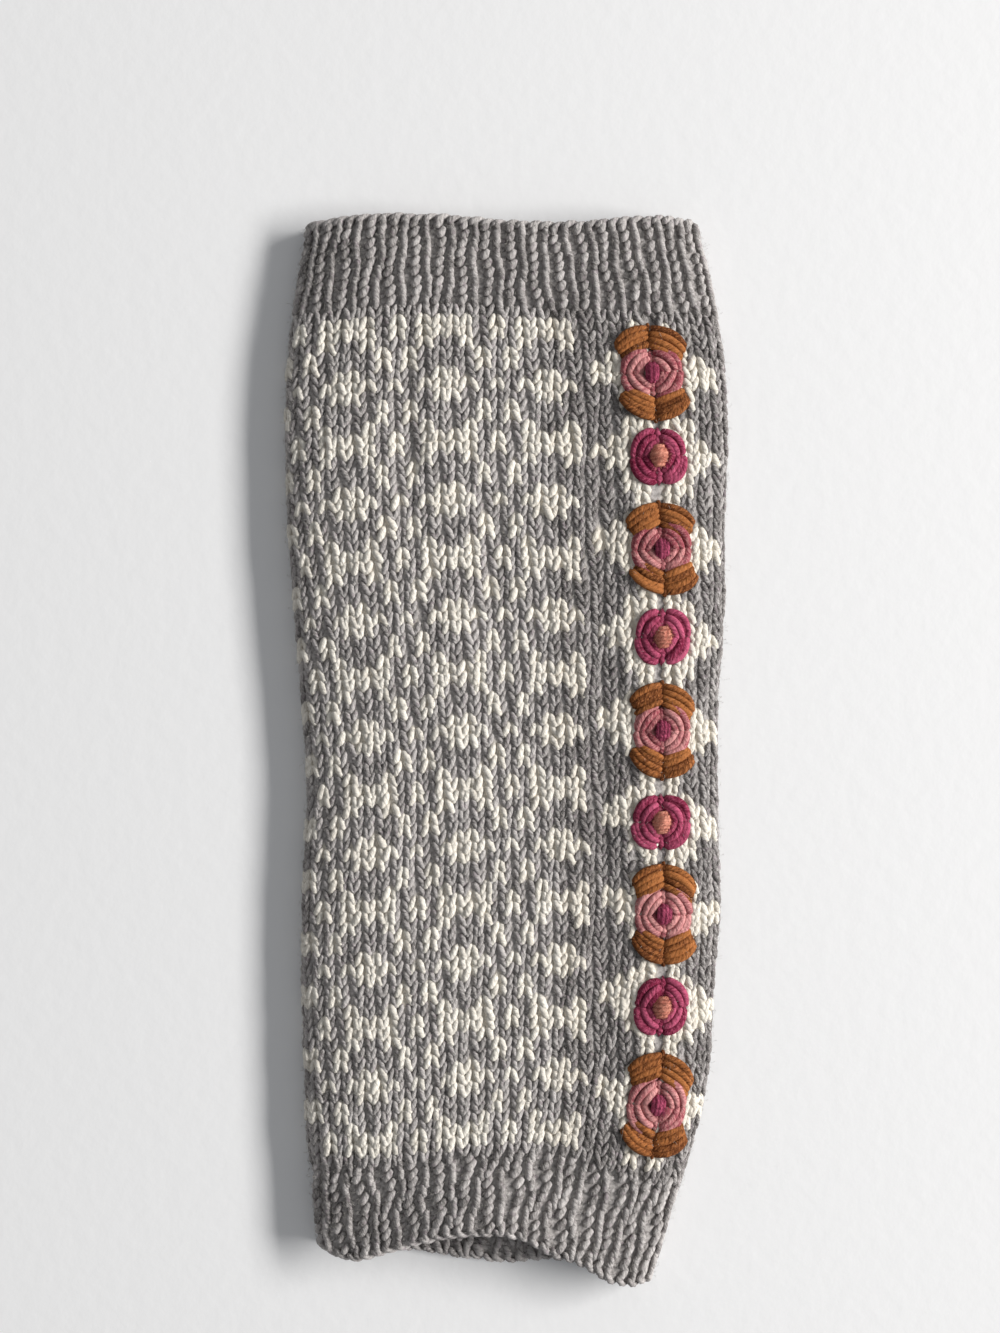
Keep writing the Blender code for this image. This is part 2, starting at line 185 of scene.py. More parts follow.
# How far from a rose's middle row the panel's cream reaches, for stitches 1 to 4 from the line
PANEL_CREAM_ROWS = (99.0, 3.1, 1.7, 0.9)
WALE_SHIFT = 0.27        # stitches that the chart is moved right
WALE_TWIST = 0.62        # and how much more at the bottom, less at the top


def smooth_column(rows, column, at):
    """A table's named column, read along a smooth curve at values of the table's first column."""
    knots = np.array([row[0] for row in rows])
    values = np.array([getattr(row, column) for row in rows])
    slopes = np.gradient(values, knots)
    at = np.clip(at, knots[0], knots[-1])
    low = np.clip(np.searchsorted(knots, at, side="right") - 1, 0, len(knots) - 2)
    span = knots[low + 1] - knots[low]
    share = (at - knots[low]) / span
    rise = share * share * (3.0 - 2.0 * share)
    leave = share * (1.0 - share) ** 2 * span * slopes[low]
    arrive = share * share * (share - 1.0) * span * slopes[low + 1]
    return values[low] * (1.0 - rise) + values[low + 1] * rise + leave + arrive


def smooth_step(value):
    """0 below 0, 1 above 1 and a soft rise between them."""
    value = np.clip(value, 0.0, 1.0)
    return value * value * (3.0 - 2.0 * value)


def dome(across):
    """Height of the front over the floor, as a share of the crown."""
    fold = FOLD_RADIUS / REFERENCE_CROWN
    fall = np.clip(1.0 - np.abs(across) ** DOME_POWER, 0.0, 1.0)
    return fold + (1.0 - fold) * np.sqrt(fall)


def reference_outline():
    """The section once around from its left fold, over the front: share, across and height."""
    half = REFERENCE_WIDTH / 2.0
    round_share = FOLD_RADIUS / half
    fold = FOLD_RADIUS / REFERENCE_CROWN
    sweep = np.linspace(0.0, math.pi, OUTLINE_SAMPLES)
    quarter = np.linspace(0.0, math.pi / 2.0, FOLD_SAMPLES)
    over = -np.cos(sweep)
    right = 1.0 - round_share + round_share * np.cos(quarter)
    under = np.linspace(1.0 - round_share, round_share - 1.0, OUTLINE_SAMPLES)
    left = -right[::-1]
    across = np.concatenate((over, right[1:], under[1:], left[1:]))
    lower = fold * (1.0 - np.sin(quarter))
    flat = np.zeros(OUTLINE_SAMPLES - 1)
    height = np.concatenate((dome(over), lower[1:], flat, lower[::-1][1:]))
    steps = np.hypot(np.diff(across) * half, np.diff(height) * REFERENCE_CROWN)
    travelled = np.concatenate(([0.0], np.cumsum(steps)))
    return travelled / travelled[-1], across, height


OUTLINE = reference_outline()


def crease_depth(x, y):
    """How deep the soft troughs are at a place on the front."""
    total = np.zeros(np.broadcast(x, y).shape)
    for crease in CREASES:
        share = (y - crease.bottom_y) / (crease.top_y - crease.bottom_y)
        line = crease.bottom_x + share * (crease.top_x - crease.bottom_x)
        upper_end = smooth_step((crease.top_y - y) / CREASE_END)
        lower_end = smooth_step((y - crease.bottom_y) / CREASE_END)
        trough = np.exp(-(((x - line) / crease.half_width) ** 2))
        total = total + crease.depth * upper_end * lower_end * trough
    return total


def place(across, height, y):
    """A point of the outer surface from its place in the section and along the length."""
    left = smooth_column(SECTIONS, "left", y)
    right = smooth_column(SECTIONS, "right", y)
    crown = smooth_column(SECTIONS, "crown", y)
    x = (left + right) / 2.0 + (right - left) / 2.0 * across
    fold = FOLD_RADIUS / REFERENCE_CROWN
    upper = np.clip((height - fold) / (1.0 - fold), 0.0, 1.0)
    hem = smooth_column(BOTTOM_HEM, "front", across)
    lift = MOUTH_LIFT * np.exp(-(((across - MOUTH_CENTRE) / MOUTH_HALF_WIDTH) ** 2))
    lift = lift * smooth_step((hem + MOUTH_REACH - y) / MOUTH_REACH)
    z = crown * height + upper * (lift - crease_depth(x, y))
    return np.stack((x, y, z), axis=-1)


def level(across, height, stage):
    """Y of the cloth at a stage: 0 bottom hem, 1 lower seam, 2 upper seam and 3 top hem."""
    front_share = smooth_step(height / (FOLD_RADIUS / REFERENCE_CROWN))
    lines = []
    for table in STAGES:
        front_line = smooth_column(table, "front", across)
        back_line = smooth_column(table, "back", across)
        lines.append(back_line + (front_line - back_line) * front_share)
    low = np.clip(np.floor(stage), 0, len(STAGES) - 2).astype(int)
    share = stage - low
    below = np.choose(low, lines[:-1])
    above = np.choose(low, lines[1:])
    return below + (above - below) * share


def outer_surface(around, stage):
    """A point of the tube's outside: around 0 to 1 from the left fold over the front."""
    share, across_line, height_line = OUTLINE
    around = np.mod(around, 1.0)
    across = np.interp(around, share, across_line)
    height = np.interp(around, share, height_line)
    return place(across, height, level(across, height, stage))


def unit(vectors):
    """The vectors at length 1."""
    return vectors / np.linalg.norm(vectors, axis=-1, keepdims=True)


def cloth(around, stage, out):
    """Points of the tube moved out from its outer surface, and the directions that point out there."""
    around, stage, out = np.broadcast_arrays(around, stage, out)
    ahead = outer_surface(around + NORMAL_STEP, stage) - outer_surface(around - NORMAL_STEP, stage)
    later = outer_surface(around, stage + NORMAL_STEP) - outer_surface(around, stage - NORMAL_STEP)
    normal = unit(np.cross(ahead, later) * IN_SECTION)
    return outer_surface(around, stage) + normal * out[..., None], normal


def off_floor(around):
    """0 where the tube lies on the floor, 1 above its folds."""
    share, _, height_line = OUTLINE
    height = np.interp(np.mod(around, 1.0), share, height_line)
    return np.clip(height * REFERENCE_CROWN / FOLD_RADIUS, 0.0, 1.0)


def front_height(x, y):
    """Height of the leg's front over a place on the floor."""
    left = smooth_column(SECTIONS, "left", y)
    right = smooth_column(SECTIONS, "right", y)
    across = (2.0 * x - left - right) / (right - left)
    return place(across, dome(across), y)[..., 2]


def front(x, y, out):
    """Points of the leg's front over places on the floor, moved out, and the directions that point out."""
    x, y, out = np.broadcast_arrays(x, y, out)
    slope_x = (front_height(x + SLOPE_STEP, y) - front_height(x - SLOPE_STEP, y)) / (2.0 * SLOPE_STEP)
    slope_y = (front_height(x, y + SLOPE_STEP) - front_height(x, y - SLOPE_STEP)) / (2.0 * SLOPE_STEP)
    normal = unit(np.stack((-slope_x, -slope_y, np.ones(slope_x.shape)), axis=-1))
    return np.stack((x, y, front_height(x, y)), axis=-1) + normal * out[..., None], normal


def on_rose(rose, side, up):
    """Places on the floor from places in a rose's own upright frame."""
    turn = math.radians(rose.lean)
    x = rose.x + side * math.cos(turn) - up * math.sin(turn)
    y = rose.y + side * math.sin(turn) + up * math.cos(turn)
    return x, y


# Lengths of yarn

Template = namedtuple("Template", "station side up loops starts along around")
Yarn = namedtuple("Yarn", "line normal width height tone")
BAKE_MARGIN = 0.06       # share of a length's cell on the bake map that stays free around it
MERGE_DISTANCE = 0.01
END_ROUNDNESS = 0.4      # a lower power rounds a length's ends off more bluntly


def yarn_template(stations, sides):
    """One length of yarn with closed ends: where its corners sit along it and around it."""
    shape = bmesh.new()
    shape.loops.layers.uv.new("yarn")
    bmesh.ops.create_grid(shape, x_segments=stations - 1, y_segments=sides, size=1.0, calc_uvs=True)
    for vertex in shape.verts:
        station = round((vertex.co.x + 1.0) / 2.0 * (stations - 1))
        turn = math.pi * (vertex.co.y + 1.0)
        ring = 0.0 if station in (0, stations - 1) else 1.0
        vertex.co = (station, ring * math.cos(turn), ring * math.sin(turn))
    bmesh.ops.remove_doubles(shape, verts=shape.verts, dist=MERGE_DISTANCE)
    bmesh.ops.recalc_face_normals(shape, faces=shape.faces)
    mesh = bpy.data.meshes.new("yarn_template")
    shape.to_mesh(mesh)
    shape.free()
    corners = np.zeros(len(mesh.vertices) * 3)
    mesh.vertices.foreach_get("co", corners)
    corners = corners.reshape(-1, 3)
    loops = np.zeros(len(mesh.loops), int)
    mesh.loops.foreach_get("vertex_index", loops)
    starts = np.zeros(len(mesh.polygons), int)
    mesh.polygons.foreach_get("loop_start", starts)
    places = np.zeros(len(mesh.loops) * 2)
    mesh.uv_layers[0].data.foreach_get("uv", places)
    places = places.reshape(-1, 2)
    bpy.data.meshes.remove(mesh)
    station = np.round(corners[:, 0]).astype(int)
    side, up = corners[:, 1], corners[:, 2]
    return Template(station, side, up, loops, starts, places[:, 0], places[:, 1])


def yarn_mesh(name, yarn, sides):
    """One mesh of many lengths of yarn, with a map along each and a map on which all have a cell."""
    count, stations = yarn.line.shape[:2]
    template = yarn_template(stations, sides)
    ahead = unit(np.gradient(yarn.line, axis=1))
    aside = unit(np.cross(yarn.normal, ahead))
    above = np.cross(ahead, aside)
    station = template.station
    wide = (yarn.width[:, station] / 2.0 * template.side)[..., None] * aside[:, station]
    high = (yarn.height[:, station] / 2.0 * template.up)[..., None] * above[:, station]
    corners = (yarn.line[:, station] + wide + high) * MM
    first_corner = np.arange(count)[:, None] * len(station)
    first_loop = np.arange(count)[:, None] * len(template.loops)
    mesh = bpy.data.meshes.new(name)
    mesh.vertices.add(count * len(station))
    mesh.vertices.foreach_set("co", corners.ravel())
    mesh.loops.add(count * len(template.loops))
    mesh.loops.foreach_set("vertex_index", (template.loops + first_corner).ravel())
    mesh.polygons.add(count * len(template.starts))
    mesh.polygons.foreach_set("loop_start", (template.starts + first_loop).ravel())
    steps = np.linalg.norm(np.diff(yarn.line, axis=1), axis=-1)
    along = template.along * steps.sum(axis=1)[:, None]
    around = np.broadcast_to(template.around, along.shape)
    add_map(mesh, "yarn", along, around)
    columns = math.ceil(math.sqrt(count))
    rows = math.ceil(count / columns)
    inner = 1.0 - 2.0 * BAKE_MARGIN
    cell = np.arange(count)[:, None]
    across = (cell % columns + BAKE_MARGIN + inner * template.along) / columns
    up = (cell // columns + BAKE_MARGIN + inner * template.around) / rows
    add_map(mesh, "OFBake", across, up)
    tone = mesh.attributes.new("tone", "FLOAT", "POINT")
    tone.data.foreach_set("value", np.repeat(yarn.tone, len(station)).astype(np.float32))
    mesh.update(calc_edges=True)
    mesh.validate()
    mesh.shade_smooth()
    return mesh


def add_map(mesh, name, across, up):
    """A UV map from arrays with a row for each length of yarn."""
    layer = mesh.uv_layers.new(name=name)
    layer.data.foreach_set("uv", np.stack((across, up), axis=-1).ravel())


def gather(yarns):
    """Several sets of yarn as one."""
    return Yarn(*(np.concatenate([getattr(yarn, field) for yarn in yarns]) for field in Yarn._fields))


def taper(stations, end_share):
    """Thickness along a length of yarn, as a share, that narrows at both ends."""
    share = np.linspace(0.0, 1.0, stations)
    return end_share + (1.0 - end_share) * np.sin(math.pi * share) ** END_ROUNDNESS


def add_piece(name, mesh, material):
    """A finished piece that rides on the leg warmer."""
    mesh.materials.append(material)
    piece = bpy.data.objects.new(name, mesh)
    bpy.context.scene.collection.objects.link(piece)
    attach(piece, "root")
    return piece


# Materials


class Link:
    """An output of a node, with arithmetic that adds Math nodes."""

    def __init__(self, finish, socket):
        self.finish = finish
        self.socket = socket

    def math(self, operation, *values):
        sockets = dict(enumerate(values))
        return self.finish.node("ShaderNodeMath", {"operation": operation}, sockets)["Value"]

    def __add__(self, other):
        return self.math("ADD", self, other)

    def __radd__(self, other):
        return self.math("ADD", other, self)

    def __sub__(self, other):
        return self.math("SUBTRACT", self, other)

    def __rsub__(self, other):
        return self.math("SUBTRACT", other, self)

    def __mul__(self, other):
        return self.math("MULTIPLY", self, other)

    def __rmul__(self, other):
        return self.math("MULTIPLY", other, self)

    def __truediv__(self, other):
        return self.math("DIVIDE", self, other)

    def sine(self):
        return self.math("SINE", self)

    def size(self):
        return self.math("ABSOLUTE", self)

    def within(self):
        """Kept from 0 to 1."""
        return self.math("MINIMUM", self.math("MAXIMUM", self, 0.0), 1.0)


class Outputs:
    """A node's outputs by name or number."""

    def __init__(self, finish, node):
        self.finish = finish
        self.node = node

    def __getitem__(self, key):
        return Link(self.finish, self.node.outputs[key])


class Finish:
    """A material being made."""

    MIX_FACTOR = 0
    MIX_COLOURS = (6, 7)
    MIX_RESULT = 2

    def __init__(self, name):
        self.material = bpy.data.materials.new(name)
        self.material.use_nodes = True
        self.tree = self.material.node_tree
        self.tree.nodes.clear()

    def node(self, kind, settings, sockets):
        """A node of a type, with its settings and then the values or links of its sockets."""
        node = self.tree.nodes.new(kind)
        for name, value in settings.items():
            setattr(node, name, value)
        for key, value in sockets.items():
            if isinstance(value, Link):
                self.tree.links.new(value.socket, node.inputs[key])
            else:
                node.inputs[key].default_value = value
        return Outputs(self, node)

    def mix(self, factor, first, second):
        """Two colours mixed."""
        settings = {"data_type": "RGBA", "blend_type": "MIX"}
        sockets = {self.MIX_FACTOR: factor, self.MIX_COLOURS[0]: first, self.MIX_COLOURS[1]: second}
        return self.node("ShaderNodeMix", settings, sockets)[self.MIX_RESULT]

    def noise(self, vector, scale, detail):
        """Noise from 0 to 1."""
        sockets = {"Vector": vector, "Scale": scale, "Detail": detail}
        return self.node("ShaderNodeTexNoise", {}, sockets)[0]

    def relief(self, height, depth):
        """A normal that follows a height, at a depth in millimetres."""
        sockets = {"Height": height, "Distance": depth * MM, "Strength": 1.0}
        return self.node("ShaderNodeBump", {}, sockets)["Normal"]

    def done(self, sockets):
        """Joins the surface to the output and gives the material."""
        surface = self.node("ShaderNodeBsdfPrincipled", {}, sockets)
        self.node("ShaderNodeOutputMaterial", {}, {"Surface": surface["BSDF"]})
        return self.material


# Noise drawn out along a yarn: its scale along it, around it and from stitch to stitch, and in all
Streak = namedtuple("Streak", "along around stitch scale")
LOCKS = Streak(0.45, 4.0, 53.0, 1.5)
FIBRES = Streak(0.9, 9.0, 31.0, 2.2)
CLOUD_SCALE = 95.0
SPECK_SCALE = 620.0
PLIES = 3
PLY_PITCH = 5.6          # length of yarn in which a ply goes once around
PLY_RELIEF = 0.25
FIBRE_RELIEF = 0.6
RELIEF_DEPTH = 0.4
# How much the colour changes between dark and light with each of these
LOCK_CONTRAST = 3.0
STITCH_CONTRAST = 0.95
CLOUD_CONTRAST = 0.8
# Painted shade: each yarn's colour is lighter on its plies' crests and darker in the grooves between them
PLY_PAINTED_SHADE = 0.12
PLY_SHADE_MEAN = 0.62
# Painted shade: each yarn's colour is lighter along its top and darker on its sides and underside
CREST_PAINTED_SHADE = 0.12
CREST_SHADE_MEAN = 0.4
# Patches of fibres that are paler or deeper than the yarn, and flecks
PALE_GAIN = 1.25
PALE_LIFT = 0.03
DEEP_GAIN = 0.6
PATCH_EDGE = 9.0
PATCH_STRENGTH = 0.75
PALE_ABOVE = 0.56
DEEP_BELOW = 0.43
FLECK_ABOVE = 0.6
FLECK_STRENGTH = 0.4
SHEEN_ROUGHNESS = 0.5
BACKING_SCALE = 900.0
BACKING_DARK_BELOW = 0.3
BACKING_CONTRAST = 2.5
CREAM_COVER = 0.95       # how much of the cream shows on the backing, and how much more on its fibres
CREAM_COVER_RISE = 0.3
FLOOR_SCALE = 160.0
FLOOR_DEPTH = 0.1


def opaque(colour):
    """A colour with its alpha."""
    return (*colour, 1.0)


def streaks(finish, along, wound, tone, streak):
    """Noise drawn out along a yarn, with a pattern of its own for each stitch."""
    sockets = {0: along * streak.along, 1: wound * streak.around, 2: tone * streak.stitch}
    return finish.noise(finish.node("ShaderNodeCombineXYZ", {}, sockets)[0], streak.scale, 2.0)


def yarn_finish(name, dark, light, fleck, contrast, sheen):
    """Spun wool: soft plies, streaks of dark and light fibres, flecks and a tone for each stitch, with
    painted shade: lighter along each yarn's top and its plies' crests, darker on its sides, underside and ply
    grooves.
    """
    finish = Finish(name)
    where = finish.node("ShaderNodeUVMap", {"uv_map": "yarn"}, {})["UV"]
    parts = finish.node("ShaderNodeSeparateXYZ", {}, {0: where})
    along, around = parts["X"], parts["Y"]
    wound = around + along / PLY_PITCH
    tone = finish.node("ShaderNodeAttribute", {"attribute_name": "tone"}, {})["Fac"]
    ply = (wound * (PLIES * math.pi)).sine().size()
    crest = (around * TURN).sine()
    lock = streaks(finish, along, wound, tone, LOCKS)
    fibre = streaks(finish, along, wound, tone, FIBRES)
    room = finish.node("ShaderNodeTexCoord", {}, {})["Object"]
    cloud = finish.noise(room, CLOUD_SCALE, 2.0)
    speck = finish.noise(room, SPECK_SCALE, 1.0)
    streak = (lock - 0.5) * (LOCK_CONTRAST * contrast) + (tone - 0.5) * (STITCH_CONTRAST * contrast)
    soft = 0.5 + streak + (cloud - 0.5) * (CLOUD_CONTRAST * contrast)
    # painted shade: the plies' crests and each yarn's top are lighter, the ply grooves, sides and underside
    # darker
    factor = soft + (ply - PLY_SHADE_MEAN) * PLY_PAINTED_SHADE + (crest - CREST_SHADE_MEAN) * CREST_PAINTED_SHADE
    pale = tuple(min(1.0, PALE_GAIN * part + PALE_LIFT) for part in light)
    deep = tuple(DEEP_GAIN * part for part in dark)
    colour = finish.mix(factor.within(), opaque(dark), opaque(light))
    for share, strength, patch in (
        (fibre - PALE_ABOVE, PATCH_STRENGTH * contrast, pale),
        (DEEP_BELOW - fibre, PATCH_STRENGTH * contrast, deep),
        (speck - FLECK_ABOVE, FLECK_STRENGTH, fleck),
    ):
        colour = finish.mix((share * PATCH_EDGE).within() * strength, colour, opaque(patch))
    height = ply * PLY_RELIEF + lock * FIBRE_RELIEF + fibre * FIBRE_RELIEF
    return finish.done({
        "Base Color": colour,
        "Roughness": 0.9,
        "Normal": finish.relief(height, RELIEF_DEPTH),
        "Sheen Weight": sheen,
        "Sheen Roughness": SHEEN_ROUGHNESS,
        "Sheen Tint": opaque(light),
        "Specular IOR Level": 0.15,
    })


def backing_finish(name, dark, light, cream):
    """The shaded wool behind the stitches, cream behind cream ones."""
    finish = Finish(name)
    room = finish.node("ShaderNodeTexCoord", {}, {})["Object"]
    fibre = finish.noise(room, BACKING_SCALE, 3.0)
    factor = ((fibre - BACKING_DARK_BELOW) * BACKING_CONTRAST).within()
    colour = finish.mix(factor, opaque(dark), opaque(light))
    in_cream = finish.node("ShaderNodeAttribute", {"attribute_name": "cream"}, {})["Fac"]
    cover = (in_cream * (CREAM_COVER + fibre * CREAM_COVER_RISE)).within()
    colour = finish.mix(cover, colour, opaque(cream))
    return finish.done({
        "Base Color": colour,
        "Roughness": 0.95,
        "Normal": finish.relief(fibre, RELIEF_DEPTH),
        "Specular IOR Level": 0.1,
    })


def floor_finish(name, colour):
    """A plain pale surface."""
    finish = Finish(name)
    room = finish.node("ShaderNodeTexCoord", {}, {})["Object"]
    relief = finish.relief(finish.noise(room, FLOOR_SCALE, 3.0), FLOOR_DEPTH)
    return finish.done({"Base Color": opaque(colour), "Roughness": 0.6, "Normal": relief})


# Knitting

Leg = namedtuple("Leg", "side near far top bottom dip")
LEG_STATIONS = 6
LEG_SIDES = 6
BACK_LEG_STATIONS = 5
BACK_LEG_SIDES = 5
# The two legs of a knit stitch: from its top out to its foot, in stitches and rows
KNIT_LEGS = (
    Leg(-1.0, 0.04, 0.57, -0.74, 0.94, 0.4),
    Leg(1.0, 0.08, 0.55, -0.74, 0.94, 0.4),
)
STRAY = Leg(0.0, 0.02, 0.025, 0.06, 0.10, 0.15)     # how far single stitches stray from that
STRAY_LIMIT = 2.5        # and the most of it, as a multiple
GIRTH_STRAY = 0.07
LEG_END = 0.6            # thickness of a leg's ends as a share of its middle's
LEG_FLAT = 0.85          # its height as a share of its width
FOOT_DIP = 0.35          # a leg comes out from under the row above and its foot lies on the row below
TOP_POWER = 1.7
FOOT_POWER = 6
CREST_OUT = -0.45        # the middle of a stitch's yarn below the solid's surface
FLOOR_SINK = 0.35        # how much deeper the yarn lies where the tube rests on the floor
FLOOR_FLAT = 0.17        # and how much flatter it is there
RING_TONE = 0.3          # grey looks lighter where it is knitted with cream
BAND_TONE = -0.5         # and darker in the plain bands beside the roses
LINE_SINK = 1.0          # how much deeper the grey line between the roses lies
CUFF_STEP = 0.12         # a cuff's length as a share of the leg's
# Waves in which a column of stitches sways: their size in stitches, and their turn by row and by column
WALE_SWAYS = ((0.10, 0.31, 1.7), (0.07, 0.83, 2.9))


def wander(count, rng, amount):
    """Small steady offsets, one for each stitch."""
    return np.clip(rng.normal(0.0, amount, count), -STRAY_LIMIT * amount, STRAY_LIMIT * amount)


def sway(row, column, waves):
    """How far a column of stitches sways at a row, as a sum of waves."""
    return sum(size * np.sin(row * by_row + column * by_column) for size, by_row, by_column in waves)


def row_stage(row, rows):
    """The stage of the cloth at a row of the leg, counted down from the upper seam."""
    stage = 2.0 - (row + 0.5) / rows
    past_upper = np.maximum(stage - 2.0, 0.0)
    past_lower = np.maximum(1.0 - stage, 0.0)
    return stage + (past_upper - past_lower) * (1.0 / CUFF_STEP - 1.0)


def wale_around(column, row, rows, stitches):
    """The place around the tube of a stitch column at a row."""
    down = (row + 0.5) / rows
    shift = WALE_SHIFT + WALE_TWIST * (2.0 * down - 1.0)
    return (column + shift + sway(row, column, WALE_SWAYS)) / stitches


def cream_chart(knit):
    """For each row and column of the leg, whether its stitch is cream."""
    cream = np.zeros((knit.leg_rows, knit.stitches), bool)
    rose_rows = [rose_row(rose, knit) for rose in LARGE_ROSES + SMALL_ROSES]
    for row in range(knit.leg_rows):
        ring_row = (row - FIRST_RING_ROW) % REPEAT_ROWS
        ring_row = min(ring_row, REPEAT_ROWS - ring_row)
        from_rose = min(abs(row - middle) for middle in rose_rows)
        for column in range(knit.stitches):
            aside = abs(column + 0.5 - PANEL_COLUMN)
            band = PANEL_BANDS[column + 0.5 > PANEL_COLUMN]
            if aside <= PANEL_HALF_WIDTH:
                on_line = aside < 0.5
                cream[row, column] = not on_line and from_rose < PANEL_CREAM_ROWS[round(aside) - 1]
            elif aside > band:
                from_dot = (column + 0.5 - RING_COLUMN) % REPEAT_STITCHES
                from_dot = min(from_dot, REPEAT_STITCHES - from_dot)
                cream[row, column] = RING_CHART[ring_row][int(from_dot)] == "c"
    return cream


def chart_at(chart, around, stage, knit):
    """How cream the chart is at places of the cloth, 0 outside the leg."""
    row = (2.0 - stage) * knit.leg_rows - 0.5
    shift = WALE_SHIFT + WALE_TWIST * (2.0 * (2.0 - stage) - 1.0)
    column = np.floor(around * knit.stitches - shift).astype(int) % knit.stitches
    nearest = np.clip(np.round(row), 0, knit.leg_rows - 1).astype(int)
    inside = (row > -0.5) & (row < knit.leg_rows - 0.5)
    return np.where(inside, chart[nearest, column], False).astype(float)


def rose_row(rose, knit):
    """The row of the leg that lies under a rose's middle."""
    across = 2.0 * rose.x / REFERENCE_WIDTH
    upper = smooth_column(UPPER_SEAM, "front", across)
    lower = smooth_column(LOWER_SEAM, "front", across)
    return float((upper - rose.y) / (upper - lower) * knit.leg_rows - 0.5)


def knit_legs(columns, rows, shape, stations, thick, knit, rng):
    """The yarn of one leg of each of many stitches of the leg of the tube."""
    share = np.linspace(0.0, 1.0, stations)
    count = len(columns)
    near = shape.near + wander(count, rng, STRAY.near)
    far = shape.far + wander(count, rng, STRAY.far)
    top = shape.top + wander(count, rng, STRAY.top)
    bottom = shape.bottom + wander(count, rng, STRAY.bottom)
    aside = near[:, None] + (far - near)[:, None] * share
    column = columns[:, None] + 0.5 + shape.side * aside
    row = rows[:, None] + top[:, None] + (bottom - top)[:, None] * share
    around = wale_around(column, row, knit.leg_rows, knit.stitches)
    dip = shape.dip * (1.0 - share) ** TOP_POWER + FOOT_DIP * share ** FOOT_POWER
    lift = wander(count, rng, STRAY.dip) - LINE_SINK * (columns == math.floor(PANEL_COLUMN))
    free = off_floor(around)
    out = CREST_OUT - FLOOR_SINK * (1.0 - free) - dip + lift[:, None] * free
    line, normal = cloth(around, row_stage(row, knit.leg_rows), out)
    girth = thick * (1.0 + wander(count, rng, GIRTH_STRAY))
    width = girth[:, None] * taper(stations, LEG_END)
    height = width * (LEG_FLAT - FLOOR_FLAT * (1.0 - free))
    from_line = np.abs(columns + 0.5 - PANEL_COLUMN)
    shade = np.where(from_line > max(PANEL_BANDS), RING_TONE, BAND_TONE)
    return Yarn(line, normal, width, height, shade + rng.random(count))


def scene_sizes():
    """The sizes that the panel shows."""
    return bpy.context.scene.leg_warmer_sizes


def scene_colours():
    """The colours that the panel shows."""
    return bpy.context.scene.leg_warmer_colours


# The colours of each wool by their names on the panel, its contrast and its sheen
Wool = namedtuple("Wool", "dark light fleck contrast sheen")
WOOLS = {
    "grey_wool": Wool("grey_dark", "grey_light", "grey_fleck", 0.8, 0.08),
    "cream_wool": Wool("cream_dark", "cream_light", "cream_light", 0.6, 0.12),
    # The loose hairs run from the grey's light fibres to cream, lighter than the yarn they stand off, as
    # painted highlight on the fuzz
    "loose_wool": Wool("grey_light", "cream_light", "grey_light", 0.6, 0.1),
    "pink_wool": Wool("pink_dark", "pink_light", "pink_light", 0.85, 0.08),
    "magenta_wool": Wool("magenta_dark", "magenta_light", "magenta_light", 0.85, 0.08),
    "salmon_wool": Wool("salmon_dark", "salmon_light", "salmon_light", 0.85, 0.08),
    "rust_wool": Wool("rust_dark", "rust_light", "rust_light", 1.0, 0.08),
}


def wool(name):
    """The finish of a yarn, made where it is first asked for."""
    made = bpy.data.materials.get(name)
    if made:
        return made
    kind = WOOLS[name]
    dark, light, fleck = (getattr(scene_colours(), colour) for colour in (kind.dark, kind.light, kind.fleck))
    return yarn_finish(name, dark, light, fleck, kind.contrast, kind.sheen)


def count_property(name, description, default, least):
    """A number of stitches, rows or ribs that a user would change."""
    return IntProperty(name=name, description=description, default=default, min=least)


def width_property(name, description, default):
    """The width of a yarn, in millimetres, that a user would change."""
    return FloatProperty(name=name, description=description, default=default, min=0.5)


def colour_property(name, description, default):
    """A colour that a user would change."""
    return FloatVectorProperty(
        name=name, description=description, default=default, subtype="COLOR", size=3, min=0.0, max=1.0
    )


class KnitSizes(bpy.types.PropertyGroup):
    """Sizes of the knitting."""

    stitches: count_property("Stitches", "Stitches around the leg", 64, 8)
    leg_rows: count_property("Leg rows", "Rows from seam to seam", 79, 8)
    yarn: width_property("Grey yarn", "Width of the grey yarn in millimetres", 2.0)
    cream_yarn: width_property("Cream yarn", "Width of the cream yarn in millimetres", 2.5)
    rib_yarn: width_property("Rib yarn", "Width of the ribs' yarn in millimetres", 2.35)
    top_ribs: count_property("Top ribs", "Ribs around the top cuff", 36, 4)
    bottom_ribs: count_property("Bottom ribs", "Ribs around the bottom cuff", 30, 4)
    cuff_rows: count_property("Cuff rows", "Rows in each cuff", 10, 3)
    thread: width_property("Thread", "Width of the embroidery yarn in millimetres", 1.85)


